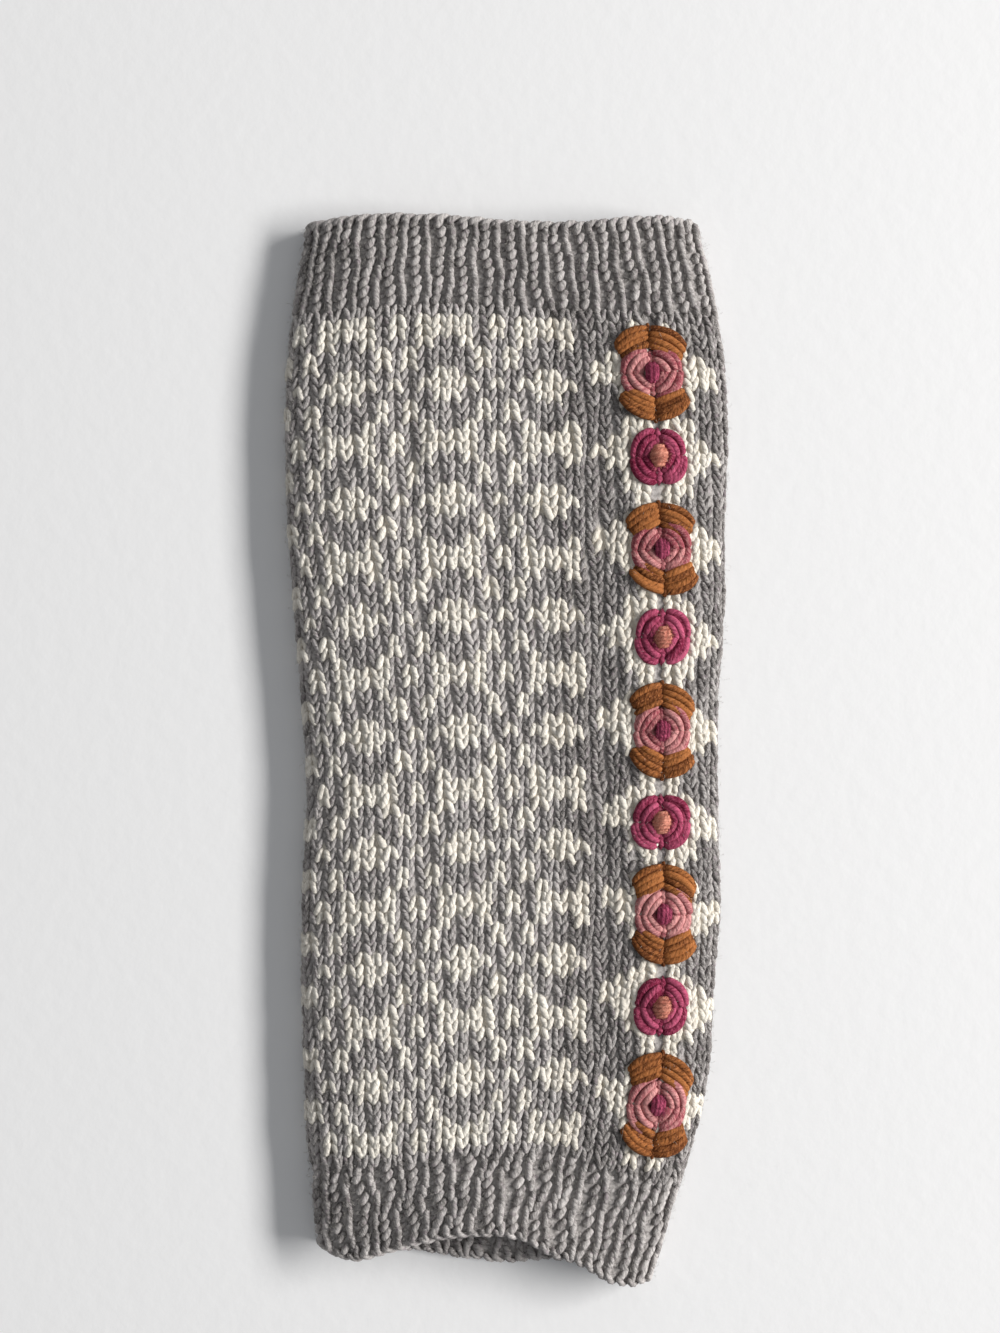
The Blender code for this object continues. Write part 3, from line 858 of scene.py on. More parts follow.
class KnitColours(bpy.types.PropertyGroup):
    """Colours of the yarns."""

    grey_dark: colour_property("Grey, dark fibres", "Dark fibres of the heather grey", (0.160, 0.147, 0.143))
    grey_light: colour_property("Grey, light fibres", "Light fibres of the heather grey", (0.49, 0.462, 0.45))
    grey_fleck: colour_property("Grey, flecks", "Mauve flecks in the grey", (0.30, 0.235, 0.27))
    cream_dark: colour_property("Cream, shade", "Deeper fibres of the cream", (0.68, 0.625, 0.545))
    cream_light: colour_property("Cream", "Light fibres of the cream", (0.82, 0.775, 0.705))
    backing_dark: colour_property("Backing, dark", "Shaded wool behind the stitches", (0.25, 0.233, 0.225))
    backing_light: colour_property("Backing, light", "Lighter wool behind the stitches", (0.54, 0.508, 0.495))
    pink_dark: colour_property("Pink, shade", "Deeper fibres of the dusty pink", (0.27, 0.058, 0.075))
    pink_light: colour_property("Pink", "Light fibres of the dusty pink", (0.61, 0.285, 0.275))
    magenta_dark: colour_property("Magenta, shade", "Deeper fibres of the magenta", (0.15, 0.008, 0.033))
    magenta_light: colour_property("Magenta", "Light fibres of the magenta", (0.46, 0.090, 0.168))
    salmon_dark: colour_property("Salmon, shade", "Deeper fibres of the salmon", (0.42, 0.12, 0.085))
    salmon_light: colour_property("Salmon", "Light fibres of the salmon", (0.68, 0.29, 0.21))
    rust_dark: colour_property("Rust, shade", "Deeper fibres of the rust", (0.10, 0.028, 0.007))
    rust_light: colour_property("Rust", "Light fibres of the rust", (0.37, 0.135, 0.040))
    floor: colour_property("Floor", "The pale floor", (0.87, 0.87, 0.88))


# The backing's two faces below the solid's surface, in the leg and in the cuffs
BACKING_OUT = -0.72
CUFF_BACKING_OUT = -1.45
LEG_BACKING_IN = -3.0
CUFF_BACKING_IN = -2.2
BACKING_AROUND = 128
LEG_BACKING_BANDS = 90
CUFF_BACKING_BANDS = 10
LEG_STAGES = (0.9, 2.1)  # where the backing starts to turn from a cuff's into the leg's
SEAM_BLEND = 0.3         # and over how much of a stage


class LEGWARMER_OT_cloth(bpy.types.Operator):
    """Makes the thin wool tube that lies behind the stitches."""

    bl_idname = "leg_warmer.cloth"
    bl_label = "Backing cloth"

    def execute(self, context):
        colours = scene_colours()
        knit = scene_sizes()
        chart = cream_chart(knit)
        around = np.linspace(0.0, 1.0, BACKING_AROUND + 1)
        stage = np.concatenate((
            np.linspace(0.0, 1.0, CUFF_BACKING_BANDS, endpoint=False),
            np.linspace(1.0, 2.0, LEG_BACKING_BANDS, endpoint=False),
            np.linspace(2.0, 3.0, CUFF_BACKING_BANDS + 1),
        ))[:, None]
        first, last = LEG_STAGES
        in_leg = smooth_step((stage - first) / SEAM_BLEND) * smooth_step((last - stage) / SEAM_BLEND)
        outer, _ = cloth(around, stage, CUFF_BACKING_OUT + (BACKING_OUT - CUFF_BACKING_OUT) * in_leg)
        inner, _ = cloth(around, stage, CUFF_BACKING_IN + (LEG_BACKING_IN - CUFF_BACKING_IN) * in_leg)
        points = np.concatenate((outer, inner[::-1], outer[:1]))
        in_cream = chart_at(chart, around, stage, knit)
        in_cream = np.concatenate((in_cream, np.zeros(inner.shape[:2]), in_cream[:1]))
        rows, columns = points.shape[:2]
        shape = bmesh.new()
        layer = shape.verts.layers.float.new("cream")
        bmesh.ops.create_grid(shape, x_segments=columns - 1, y_segments=rows - 1, size=1.0)
        for vertex in shape.verts:
            column = round((vertex.co.x + 1.0) / 2.0 * (columns - 1))
            row = round((vertex.co.y + 1.0) / 2.0 * (rows - 1))
            vertex.co = points[row, column] * MM
            vertex[layer] = in_cream[row, column]
        bmesh.ops.remove_doubles(shape, verts=shape.verts, dist=MERGE_DISTANCE * MM)
        bmesh.ops.recalc_face_normals(shape, faces=shape.faces)
        mesh = bpy.data.meshes.new("backing_cloth")
        shape.to_mesh(mesh)
        shape.free()
        mesh.shade_smooth()
        material = backing_finish(
            "backing_wool", colours.backing_dark, colours.backing_light, colours.cream_dark
        )
        piece = add_piece("backing_cloth", mesh, material)
        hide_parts("leg", "cuff_top", "cuff_bottom")
        return {"FINISHED"}


class LEGWARMER_OT_leg_stitches(bpy.types.Operator):
    """Knits the leg in cream and grey from its chart."""

    bl_idname = "leg_warmer.leg_stitches"
    bl_label = "Leg stitches"

    def execute(self, context):
        knit = scene_sizes()
        rng = np.random.default_rng(SEED)
        # A plain grey row lies beyond each seam
        cream = np.pad(cream_chart(knit), ((1, 1), (0, 0)))
        rows, columns = np.meshgrid(np.arange(-1, knit.leg_rows + 1), np.arange(knit.stitches), indexing="ij")
        on_front = columns < knit.stitches // 2
        for colour, chosen, thick in (("cream", cream, knit.cream_yarn), ("grey", ~cream, knit.yarn)):
            for layer, half, stations, sides in (
                ("front", on_front, LEG_STATIONS, LEG_SIDES),
                ("back", ~on_front, BACK_LEG_STATIONS, BACK_LEG_SIDES),
            ):
                row = rows[chosen & half].astype(float)
                column = columns[chosen & half].astype(float)
                legs = [knit_legs(column, row, leg, stations, thick, knit, rng) for leg in KNIT_LEGS]
                name = f"leg_{layer}_{colour}_stitches"
                add_piece(name, yarn_mesh(name, gather(legs), sides), wool(f"{colour}_wool"))
        return {"FINISHED"}


RIB_STATIONS = 7
# Painted shade: the ribs' grey gets a lower tone than the colourwork's grey, darker for the shade in a ribbed
# cuff
RIB_SHADE_TONE = 0.05
RIB_FLAT = 0.9
RIB_FLOOR_SINK = 0.3
RIB_SWAYS = ((0.07, 0.6, 2.1), (0.05, 1.4, 0.9))
LOWER_SWAY = 0.6         # how much more the bottom cuff's ribs sway
RIB_GIRTH_STRAY = 0.06
RIB_SLANT_STRAY = 0.015
RIB_PLACE_STRAY = 0.06
SLANTED_DIVE = 1.1       # how far the strands' ends dive, and how far a purl bump rises
STRAIGHT_DIVE = 0.4
STRAIGHT_ARCH = (0.1, 0.8)   # the part of a half wave that a straight leg follows
STRAIGHT_SOFTNESS = 0.6
PURL_RISE = 0.25
# The strands of a rib: where one starts beside the rib's middle and how far it runs across, in ribs,
# where it starts and how far it runs down, in rows, how far out it lies, and its thickness and its
# ends' as shares
Strand = namedtuple("Strand", "aside across start down out thick end")
SLANTED_LEG = Strand(-0.08, -0.34, -0.26, 1.30, -0.55, 1.15, 0.6)
STRAIGHT_LEG = Strand(0.21, 0.05, -0.45, 1.85, -0.75, 1.0, 0.85)
PURL_BUMP = Strand(0.28, 0.40, 0.5, 0.35, -1.95, 0.85, 0.7)


def rib_yarn(ribs, rows, hem_stage, seam_stage, inside, yarn_width, rng):
    """The knit columns of one side of a cuff and, outside, the purl bumps between them."""
    share = np.linspace(0.0, 1.0, RIB_STATIONS)
    arch = np.sin(math.pi * share)
    span = hem_stage - seam_stage
    kept = np.arange(rows) if inside else np.arange(rows - 1) + (span < 0.0)
    row, rib = (grid.ravel().astype(float) for grid in np.meshgrid(kept, np.arange(ribs), indexing="ij"))
    count = len(row)
    turn = 0.5 if inside else 0.0

    def stage_of(place):
        down = place / rows
        past_seam = np.where(span > 0.0, np.maximum(down - 1.0, 0.0), np.minimum(down, 0.0))
        return max(hem_stage, seam_stage) - (down - past_seam * (1.0 - CUFF_STEP))

    def laid(strand, column, place, out):
        around = (column + turn) / ribs
        depth = -WALL - out if inside else out - RIB_FLOOR_SINK * (1.0 - off_floor(around))
        line, normal = cloth(around, stage_of(place), depth)
        width = (thick * strand.thick)[:, None] * taper(RIB_STATIONS, strand.end)
        outward = -normal if inside else normal
        return Yarn(line, outward, width, width * RIB_FLAT, RIB_SHADE_TONE + rng.random(count))

    middle = rib + 0.5 + sway(row, rib, RIB_SWAYS) * (1.0 + LOWER_SWAY * (span < 0.0))
    thick = yarn_width * (1.0 + wander(count, rng, RIB_GIRTH_STRAY))
    slant = wander(count, rng, RIB_SLANT_STRAY)
    # The left leg slants, and it dives under the row above and a little at its foot
    leg = SLANTED_LEG
    column = middle[:, None] + leg.aside + (leg.across - slant)[:, None] * share
    place = row[:, None] + (leg.start + leg.down * share) + wander(count, rng, RIB_PLACE_STRAY)[:, None]
    dive = SLANTED_DIVE * (1.0 - share) ** TOP_POWER + FOOT_DIP * share ** FOOT_POWER
    sets = [laid(leg, column, place, leg.out - dive)]
    # The right leg runs almost straight down into the next one
    leg = STRAIGHT_LEG
    column = middle[:, None] + leg.aside + (leg.across + slant)[:, None] * share
    place = row[:, None] + (leg.start + leg.down * share)
    first, part = STRAIGHT_ARCH
    dive = STRAIGHT_DIVE * (1.0 - np.sin(math.pi * (first + part * share)) ** STRAIGHT_SOFTNESS)
    sets.append(laid(leg, column, place, leg.out - dive))
    # The purl bump lies low in the valley
    if not inside:
        bump = PURL_BUMP
        column = middle[:, None] + bump.aside + bump.across * share
        place = row[:, None] + bump.start + bump.down * arch
        sets.append(laid(bump, column, place, bump.out + PURL_RISE * arch))
    return gather(sets)


class LEGWARMER_OT_cuffs(bpy.types.Operator):
    """Knits the ribs of both cuffs, outside and inside."""

    bl_idname = "leg_warmer.cuffs"
    bl_label = "Ribbed cuffs"

    def execute(self, context):
        knit = scene_sizes()
        rng = np.random.default_rng(SEED + 1)
        for cuff, ribs, hem, seam in (
            ("top", knit.top_ribs, 3.0, 2.0),
            ("bottom", knit.bottom_ribs, 0.0, 1.0),
        ):
            for layer, inside in (("outside", False), ("inside", True)):
                name = f"cuff_{cuff}_{layer}_ribs"
                yarn = rib_yarn(ribs, knit.cuff_rows, hem, seam, inside, knit.rib_yarn, rng)
                add_piece(name, yarn_mesh(name, yarn, LEG_SIDES), wool("grey_wool"))
        return {"FINISHED"}


HEM_STATIONS = 9
# The hems keep their lighter tone, without the ribs' painted shade
HEM_TONE = 0.35          # the hems look lighter than the ribs
HEM_END = 0.6
HEM_FLAT = 0.95
HEM_IN = 0.55            # how far a loop's middle line lies inside the wall's faces
HEM_BELLY = 0.15
HEM_FROM = -1.5          # where a loop starts, past the hem, and how much further it reaches
HEM_RISE = 2.3
CUFF_LENGTH = 34.0
HEM_PLACE_STRAY = 0.06
HEM_RISE_STRAY = 0.15
HEM_GIRTH_STRAY = 0.08
TOP_LOOP_REACH = 1.9     # how many stitches a loop spans
BOTTOM_LOOP_REACH = 1.6


def hem_yarn(stitches, edge_stage, beyond, reach, yarn_width, rng):
    """Loops that wrap over a hem, each slanted into the next."""
    share = np.linspace(0.0, 1.0, HEM_STATIONS)
    stitch = np.arange(stitches) + wander(stitches, rng, HEM_PLACE_STRAY)
    around = (stitch[:, None] + reach * share) / stitches
    swing = np.cos(math.pi * share)
    rise = np.sin(math.pi * share)
    depth = -WALL / 2.0 + (WALL / 2.0 - HEM_IN) * swing * (1.0 + HEM_BELLY * rise)
    depth = depth - RIB_FLOOR_SINK * (1.0 - off_floor(around)) * (swing > 0.0)
    past = (HEM_FROM + HEM_RISE * rise + wander(stitches, rng, HEM_RISE_STRAY)[:, None]) / CUFF_LENGTH
    line, normal = cloth(around, edge_stage + beyond * past, depth)
    outward = normal * swing[:, None] + np.array((0.0, beyond, 0.0)) * rise[:, None]
    thick = yarn_width * (1.0 + wander(stitches, rng, HEM_GIRTH_STRAY))
    width = thick[:, None] * taper(HEM_STATIONS, HEM_END)
    return Yarn(line, unit(outward), width, width * HEM_FLAT, HEM_TONE + rng.random(stitches))


class LEGWARMER_OT_hems(bpy.types.Operator):
    """Casts on the top hem and binds off the bottom one."""

    bl_idname = "leg_warmer.hems"
    bl_label = "Hems"

    def execute(self, context):
        knit = scene_sizes()
        rng = np.random.default_rng(SEED + 2)
        for name, ribs, stage, beyond, reach in (
            ("top_hem_loops", knit.top_ribs, 3.0, 1.0, TOP_LOOP_REACH),
            ("bottom_hem_loops", knit.bottom_ribs, 0.0, -1.0, BOTTOM_LOOP_REACH),
        ):
            yarn = hem_yarn(2 * ribs, stage, beyond, reach, knit.rib_yarn, rng)
            add_piece(name, yarn_mesh(name, yarn, LEG_SIDES), wool("grey_wool"))
        return {"FINISHED"}


# Loose fibres

FIBRE_STATIONS = 3
FIBRE_SIDES = 3
FIBRE_THICK = 0.15
FIBRE_CURL = 1.6
FIBRE_ARCH = 0.7         # share of a half wave that a fibre's rise follows
FIBRE_SOFTNESS = 0.8
FIBRE_OUT = -0.1
FIBRE_FLOOR_SINK = 0.4
# How long fibres and hairs are and how high they stand: the least, and the shape and scale of the rest
FIBRE_REACH = (1.5, 4.0)
FIBRE_LEAST = 0.35
FIBRE_STANDS = (1.3, 0.45)
HAIR_REACH = (0.8, 3.0)
HAIR_LEAST = 0.2
HAIR_STANDS = (1.3, 0.35)
HAIR_ROOT = 0.4          # share of the yarn's height at which a hair starts


def fibre_widths(count, share):
    """The widths of fibres, which thin out towards their tips."""
    return np.broadcast_to(FIBRE_THICK * (1.0 - 0.5 * share), (count, FIBRE_STATIONS))


def fibre_yarn(count, stages, rng):
    """Fine hairs that stand off the wool in soft curves."""
    share = np.linspace(0.0, 1.0, FIBRE_STATIONS)
    around = rng.random(count)
    stage = rng.uniform(*stages, count)
    leg_length = smooth_column(UPPER_SEAM, "front", 0.0) - smooth_column(LOWER_SEAM, "front", 0.0)
    reach = rng.uniform(*FIBRE_REACH, count)
    heading = rng.uniform(0.0, TURN, count)
    curl = rng.normal(0.0, FIBRE_CURL, count)
    turn = heading[:, None] + curl[:, None] * share
    across = np.cumsum(np.cos(turn), axis=1) / FIBRE_STATIONS * reach[:, None]
    along = np.cumsum(np.sin(turn), axis=1) / FIBRE_STATIONS * reach[:, None]
    in_cuff = (stage < 1.0) | (stage > 2.0)
    scale = np.where(in_cuff, CUFF_STEP * leg_length, leg_length)
    around_line = around[:, None] + across / (CUT_AROUND / MM)
    stage_line = stage[:, None] + along / scale[:, None]
    free = off_floor(around_line)
    stands = (FIBRE_LEAST + rng.gamma(*FIBRE_STANDS, count))[:, None]
    rise = stands * np.sin(math.pi * FIBRE_ARCH * share) ** FIBRE_SOFTNESS
    out = FIBRE_OUT - FIBRE_FLOOR_SINK * (1.0 - free) + rise * free
    line, normal = cloth(around_line, np.clip(stage_line, 0.0, 3.0), out)
    width = fibre_widths(count, share)
    return Yarn(line, normal, width, width, rng.random(count))


def fuzz(yarn, count, rng):
    """Fine hairs that stand off lengths of yarn."""
    strand = rng.integers(0, len(yarn.line), count)
    station = rng.integers(1, yarn.line.shape[1] - 1, count)
    normal = yarn.normal[strand, station]
    root = yarn.line[strand, station] + normal * (yarn.height[strand, station] * HAIR_ROOT)[:, None]
    heading = rng.normal(size=(count, 3))
    heading = unit(heading - normal * np.sum(heading * normal, axis=-1, keepdims=True))
    share = np.linspace(0.0, 1.0, FIBRE_STATIONS)
    reach = rng.uniform(*HAIR_REACH, count)[:, None] * share
    stands = (HAIR_LEAST + rng.gamma(*HAIR_STANDS, count))[:, None]
    rise = stands * np.sin(math.pi * FIBRE_ARCH * share)
    line = root[:, None] + heading[:, None] * reach[..., None] + normal[:, None] * rise[..., None]
    width = fibre_widths(count, share)
    return Yarn(line, np.broadcast_to(normal[:, None], line.shape), width, width, rng.random(count))


class LEGWARMER_OT_fibres(bpy.types.Operator):
    """Lets fine loose hairs stand off the knitting, coloured light as painted highlight on the fuzz."""

    bl_idname = "leg_warmer.fibres"
    bl_label = "Loose fibres"

    def execute(self, context):
        rng = np.random.default_rng(SEED + 5)
        for name, count, stages, slot in (
            ("leg_fibres", 27000, (1.0, 2.0), "colourwork"),
            ("cuff_top_fibres", 4600, (2.0, 3.0), "grey_rib"),
            ("cuff_bottom_fibres", 3800, (0.0, 1.0), "grey_rib"),
        ):
            yarn = fibre_yarn(count, stages, rng)
            add_piece(name, yarn_mesh(name, yarn, FIBRE_SIDES), wool("loose_wool"))
        return {"FINISHED"}


# Embroidery

THREAD_STATIONS = 11
THREAD_SIDES = 8
THREAD_FLAT = 0.78
THREAD_SINK = 0.6        # how far a stitch's ends lie below the knitting's crest
THREAD_STRAY = 0.06
THREAD_END = 0.6         # thickness of a stitch's ends as a share of its middle's
THREAD_SOFTNESS = 0.5    # a lower power makes a stitch rise more steeply
UNDERLAY_THICK = 3.0
UNDERLAY_TONE = -0.25
HAIRS = 700              # loose hairs on each set of petals, leaves or knots

# A ring of petals: its size and how full its corners are as shares, and how high it rises
Petal = namedtuple("Petal", "share fullness lift")
LARGE_PETALS = (Petal(1.02, 0.86, 0.9), Petal(0.80, 0.78, 1.45), Petal(0.58, 0.70, 1.2))
SMALL_PETALS = (Petal(1.05, 0.95, 0.9), Petal(0.82, 0.84, 1.5), Petal(0.60, 0.76, 1.3))
LARGE_PETALS_SHARE = (0.88, 0.62)   # a large rose's petals within its width and its height
LARGE_PAST_END = -1.5    # how far the underlay's spine reaches past the petals
SMALL_PAST_END = 0.2
PETAL_THICK = 1.35       # a petal's yarn is doubled, so it is thicker than a leaf's
PETAL_DRAW = 0.20        # how far the ends of a petal's stitches are drawn together
PETAL_MIDDLE = 0.72      # towards this share of the petals' half size
PETAL_UNDERLAY = (0.82, 0.58, 0.34)
PETAL_UNDERLAY_LIFT = 0.45
UNDERLAY_START = 0.6
UNDERLAY_PAST = 1.0
SPINE_SOFTNESS = 0.25
# How the quarters of a rose differ: fuller corners, the tone, and how far stitches end past the middle
QUARTER_FULLER = (-0.07, 0.05)
QUARTER_TONES = (0.15, 0.0, -0.5)
LOWER_PAST = (0.4, 1.2)
UPPER_PAST = (0.4, 1.6)
UPPER_LIFT = 0.25
# How the stitches of a quarter differ
PETAL_TONE_STRAY = 0.35
PETAL_SIZE_STRAY = 0.025
PETAL_FULLNESS_STRAY = 0.03
PETAL_LIFT_STRAY = 0.2
PETAL_START_ASIDE = 0.35
PETAL_START_STRAY = (-0.3, 0.5)
PETAL_START_SHARE = (0.94, 1.03)
PETAL_END_SHARE = (0.93, 1.03)

LEAF_START = -0.07       # where leaves start, as a share of a rose's half width, a little past its line
LEAF_STRANDS = 4
LEAF_BEND = (0.26, 0.20)  # how far the outermost strand bends outwards
LEAF_BEND_LEAST = 0.15   # and the innermost one, as a share of that
LEAF_THICK = 1.4
LEAF_END = 0.5
LEAF_LIFT = 1.15
LEAF_LIFT_STRAY = 0.3
LEAF_TONES = (-0.5, 0.4)
LEAF_STRAY = 0.02
LEAF_UNDERLAY = (0.1, 0.45, 0.8)
LEAF_UNDERLAY_LIFT = 0.2
LOOSE_STRAND = 1         # left out of an open leaf, where the knitting shows through
OPEN_LEAVES = {(0, "lower_right"), (0, "upper_left"), (4, "lower_left")}

LINE_FROM = 0.84         # share of a rose's half height at which its dark line starts
LINE_PAST = 0.8          # and how far past the rose it runs
LINE_LIFT = 0.3
LINE_SOFTNESS = 0.3
LINE_THICK = 0.9
LINE_TONE = -1.6

Knot = namedtuple("Knot", "half_width half_height height wraps upright thick")
LARGE_KNOT = Knot(3.0, 3.9, 3.4, 4, True, 0.95)
SMALL_KNOT = Knot(3.4, 4.3, 3.8, 6, False, 0.9)
KNOT_ROUNDNESS = 0.6
KNOT_NARROW = 0.35       # share of its length and of its height that an outermost wrap has
KNOT_LOW = 0.5
KNOT_LEAN = 0.5
KNOT_STRAY = 0.06
KNOT_END = 0.5


def thread(rose, lines, thick, rng, end_share=THREAD_END, tone=0.0):
    """Lengths of embroidery yarn from lines of places in a rose's own frame."""
    side, up, out = (np.array(values) for values in zip(*lines))
    x, y = on_rose(rose, side, up)
    line, normal = front(x, y, out)
    girth = thick * (1.0 + wander(len(side), rng, THREAD_STRAY))
    width = girth[:, None] * taper(side.shape[1], end_share)
    return Yarn(line, normal, width, width * THREAD_FLAT, tone + rng.random(len(side)))


def bent(start, corner, end):
    """Places on a smooth bend from a start to an end."""
    share = np.linspace(0.0, 1.0, THREAD_STATIONS)[:, None]
    back = 1.0 - share
    start, corner, end = (np.asarray(point) for point in (start, corner, end))
    return start * back ** 2 + corner * (2.0 * share * back) + end * share ** 2


def hump(lift, softness=THREAD_SOFTNESS):
    """Height along a stitch that comes out of the cloth and dives in again."""
    arch = np.sin(math.pi * np.linspace(0.0, 1.0, THREAD_STATIONS)) ** softness
    return -THREAD_SINK + (THREAD_SINK + lift) * arch


def drawn(reach, half_size):
    """The end of a stitch, drawn in towards the middle of its petal."""
    return reach + PETAL_DRAW * (PETAL_MIDDLE * half_size - reach)


def petal_yarn(rose, half_width, half_height, petals, past_end, thick, rng):
    """Arched stitches in four quarters around a rose's middle, over a darker underlay."""
    lines, under, tones = [], [], []
    thick = thick * PETAL_THICK
    for side in (-1.0, 1.0):
        for up in (-1.0, 1.0):
            fuller = rng.uniform(*QUARTER_FULLER)
            dull = rng.choice(QUARTER_TONES)
            past = rng.uniform(*(UPPER_PAST if up > 0.0 else LOWER_PAST))
            for petal in petals:
                tones.append(dull + rng.uniform(-PETAL_TONE_STRAY, PETAL_TONE_STRAY))
                reach = petal.share * (1.0 + rng.normal(0.0, PETAL_SIZE_STRAY))
                wide = half_width * reach - thick / 2.0
                tall = half_height * reach - thick / 2.0
                start_x = PETAL_START_ASIDE + rng.uniform(*PETAL_START_STRAY)
                start_y = drawn(tall, half_height) * rng.uniform(*PETAL_START_SHARE)
                fullness = petal.fullness + fuller + rng.normal(0.0, PETAL_FULLNESS_STRAY)
                end_x = drawn(wide, half_width) * rng.uniform(*PETAL_END_SHARE)
                path = bent((start_x, start_y), (wide * fullness, tall * fullness), (end_x, -past))
                lift = petal.lift + UPPER_LIFT * up + rng.uniform(-PETAL_LIFT_STRAY, PETAL_LIFT_STRAY)
                lines.append((path[:, 0] * side, path[:, 1] * up, hump(lift)))
            for reach in PETAL_UNDERLAY:
                wide, tall = half_width * reach, half_height * reach
                path = bent((UNDERLAY_START, tall), (wide, tall), (wide, -UNDERLAY_PAST))
                under.append((path[:, 0] * side, path[:, 1] * up, hump(PETAL_UNDERLAY_LIFT)))
    spine = np.linspace(1.0, -1.0, THREAD_STATIONS) * (half_height + past_end)
    under.append((spine * 0.0, spine, hump(0.0, SPINE_SOFTNESS)))
    stitches = thread(rose, lines, thick, rng, tone=np.array(tones))
    return gather([stitches, thread(rose, under, UNDERLAY_THICK, rng, tone=UNDERLAY_TONE)])


def leaf_yarn(rose, leaf, is_open, thick, rng):
    """A bundle of satin stitches from the rose's upright line out to its side."""
    mirror = np.array((leaf.side, leaf.up)) * (rose.half_width, rose.half_height)
    inner_end, outer_end = np.array(leaf.inner_end), np.array(leaf.outer_end)

    def path(share, stray):
        start = np.array((LEAF_START, leaf.inner_start + (leaf.outer_start - leaf.inner_start) * share))
        end = inner_end + (outer_end - inner_end) * share + rng.normal(0.0, stray, 2)
        outwards = np.array(LEAF_BEND) * (LEAF_BEND_LEAST + (1.0 - LEAF_BEND_LEAST) * share)
        bend = (start + end) / 2.0 + outwards + rng.normal(0.0, stray, 2)
        return bent(start * mirror, bend * mirror, end * mirror)

    lines, tones = [], []
    for strand in range(LEAF_STRANDS):
        if not (is_open and strand == LOOSE_STRAND):
            line = path(strand / (LEAF_STRANDS - 1), LEAF_STRAY)
            lift = LEAF_LIFT + rng.uniform(-LEAF_LIFT_STRAY, LEAF_LIFT_STRAY)
            lines.append((line[:, 0], line[:, 1], hump(lift)))
            tones.append(rng.uniform(*LEAF_TONES))
    under = [path(share, 0.0) for share in LEAF_UNDERLAY]
    under = [(line[:, 0], line[:, 1], hump(LEAF_UNDERLAY_LIFT)) for line in under]
    stitches = thread(rose, lines, thick * LEAF_THICK, rng, LEAF_END, np.array(tones))
    return gather([stitches, thread(rose, under, UNDERLAY_THICK, rng, tone=UNDERLAY_TONE)])


def line_yarn(rose, thick, rng):
    """The dark line that joins a rose to the next ones, above and below it."""
    lines = []
    for up in (-1.0, 1.0):
        path = np.linspace(LINE_FROM * rose.half_height, rose.half_height + LINE_PAST, THREAD_STATIONS)
        lines.append((path * 0.0, up * path, hump(LINE_LIFT, LINE_SOFTNESS)))
    return thread(rose, lines, thick * LINE_THICK, rng, LEAF_END, LINE_TONE)


def knot_yarn(rose, knot, thick, rng):
    """Wraps of yarn side by side over a rose's middle."""
    share = np.linspace(0.0, 1.0, THREAD_STATIONS)
    thick = thick * knot.thick
    arch = np.sin(math.pi * share) ** KNOT_ROUNDNESS
    sizes = (knot.half_height, knot.half_width) if knot.upright else (knot.half_width, knot.half_height)
    across, along = sizes
    lines = []
    for wrap in range(knot.wraps):
        place = (2.0 * (wrap + 0.5) / knot.wraps - 1.0) * (along - thick / 2.0)
        full = 1.0 - (place / along) ** 2
        half_length = (across - thick / 3.0) * (KNOT_NARROW + (1.0 - KNOT_NARROW) * full)
        sweep = -np.cos(math.pi * share) * half_length
        rise = (THREAD_SINK + knot.height - thick / 2.0) * (KNOT_LOW + (1.0 - KNOT_LOW) * full)
        out = -THREAD_SINK + rise * arch
        lean = KNOT_LEAN * (share - 0.5) + rng.normal(0.0, KNOT_STRAY)
        lines.append((place + lean, sweep, out) if knot.upright else (sweep, place + lean, out))
    return thread(rose, lines, thick, rng, KNOT_END)


def add_embroidery(name, yarns, finish, nodes, rng):
    """One kind of part of all like roses in place of its nodes, and its loose hairs."""
    yarn = gather(yarns)
    piece = add_piece(name, yarn_mesh(name, yarn, THREAD_SIDES), finish)
    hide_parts(*nodes)
    hairs = yarn_mesh(f"{name}_hairs", fuzz(yarn, HAIRS, rng), FIBRE_SIDES)
    add_piece(f"{name}_hairs", hairs, finish)


class LEGWARMER_OT_large_roses(bpy.types.Operator):
    """Embroiders the pink roses with their magenta knots and rust leaves."""

    bl_idname = "leg_warmer.large_roses"
    bl_label = "Large roses"

    def execute(self, context):
        thick = scene_sizes().thread
        rng = np.random.default_rng(SEED + 3)
        petals, knots, leaves = [], [], []
        for number, rose in enumerate(LARGE_ROSES):
            half_width = rose.half_width * LARGE_PETALS_SHARE[0]
            half_height = rose.half_height * LARGE_PETALS_SHARE[1]
            petals.append(petal_yarn(rose, half_width, half_height, LARGE_PETALS, LARGE_PAST_END, thick, rng))
            knots.append(knot_yarn(rose, LARGE_KNOT, thick, rng))
            for leaf in LEAVES:
                leaves.append(leaf_yarn(rose, leaf, (number, leaf.name) in OPEN_LEAVES, thick, rng))
            leaves.append(line_yarn(rose, thick, rng))
        leaf_kinds = [f"leaf_{leaf.name}" for leaf in LEAVES]
        for name, yarns, yarn_name, slot, kinds in (
            ("large_rose_petals", petals, "pink_wool", "pink_petals", ["petals"]),
            ("large_rose_knots", knots, "magenta_wool", "magenta_knots", ["knot"]),
            ("large_rose_leaves", leaves, "rust_wool", "rust_leaves", leaf_kinds),
        ):
            numbers = range(1, len(LARGE_ROSES) + 1)
            nodes = [f"large_rose_{number}_{kind}" for number in numbers for kind in kinds]
            add_embroidery(name, yarns, wool(yarn_name), nodes, rng)
        return {"FINISHED"}


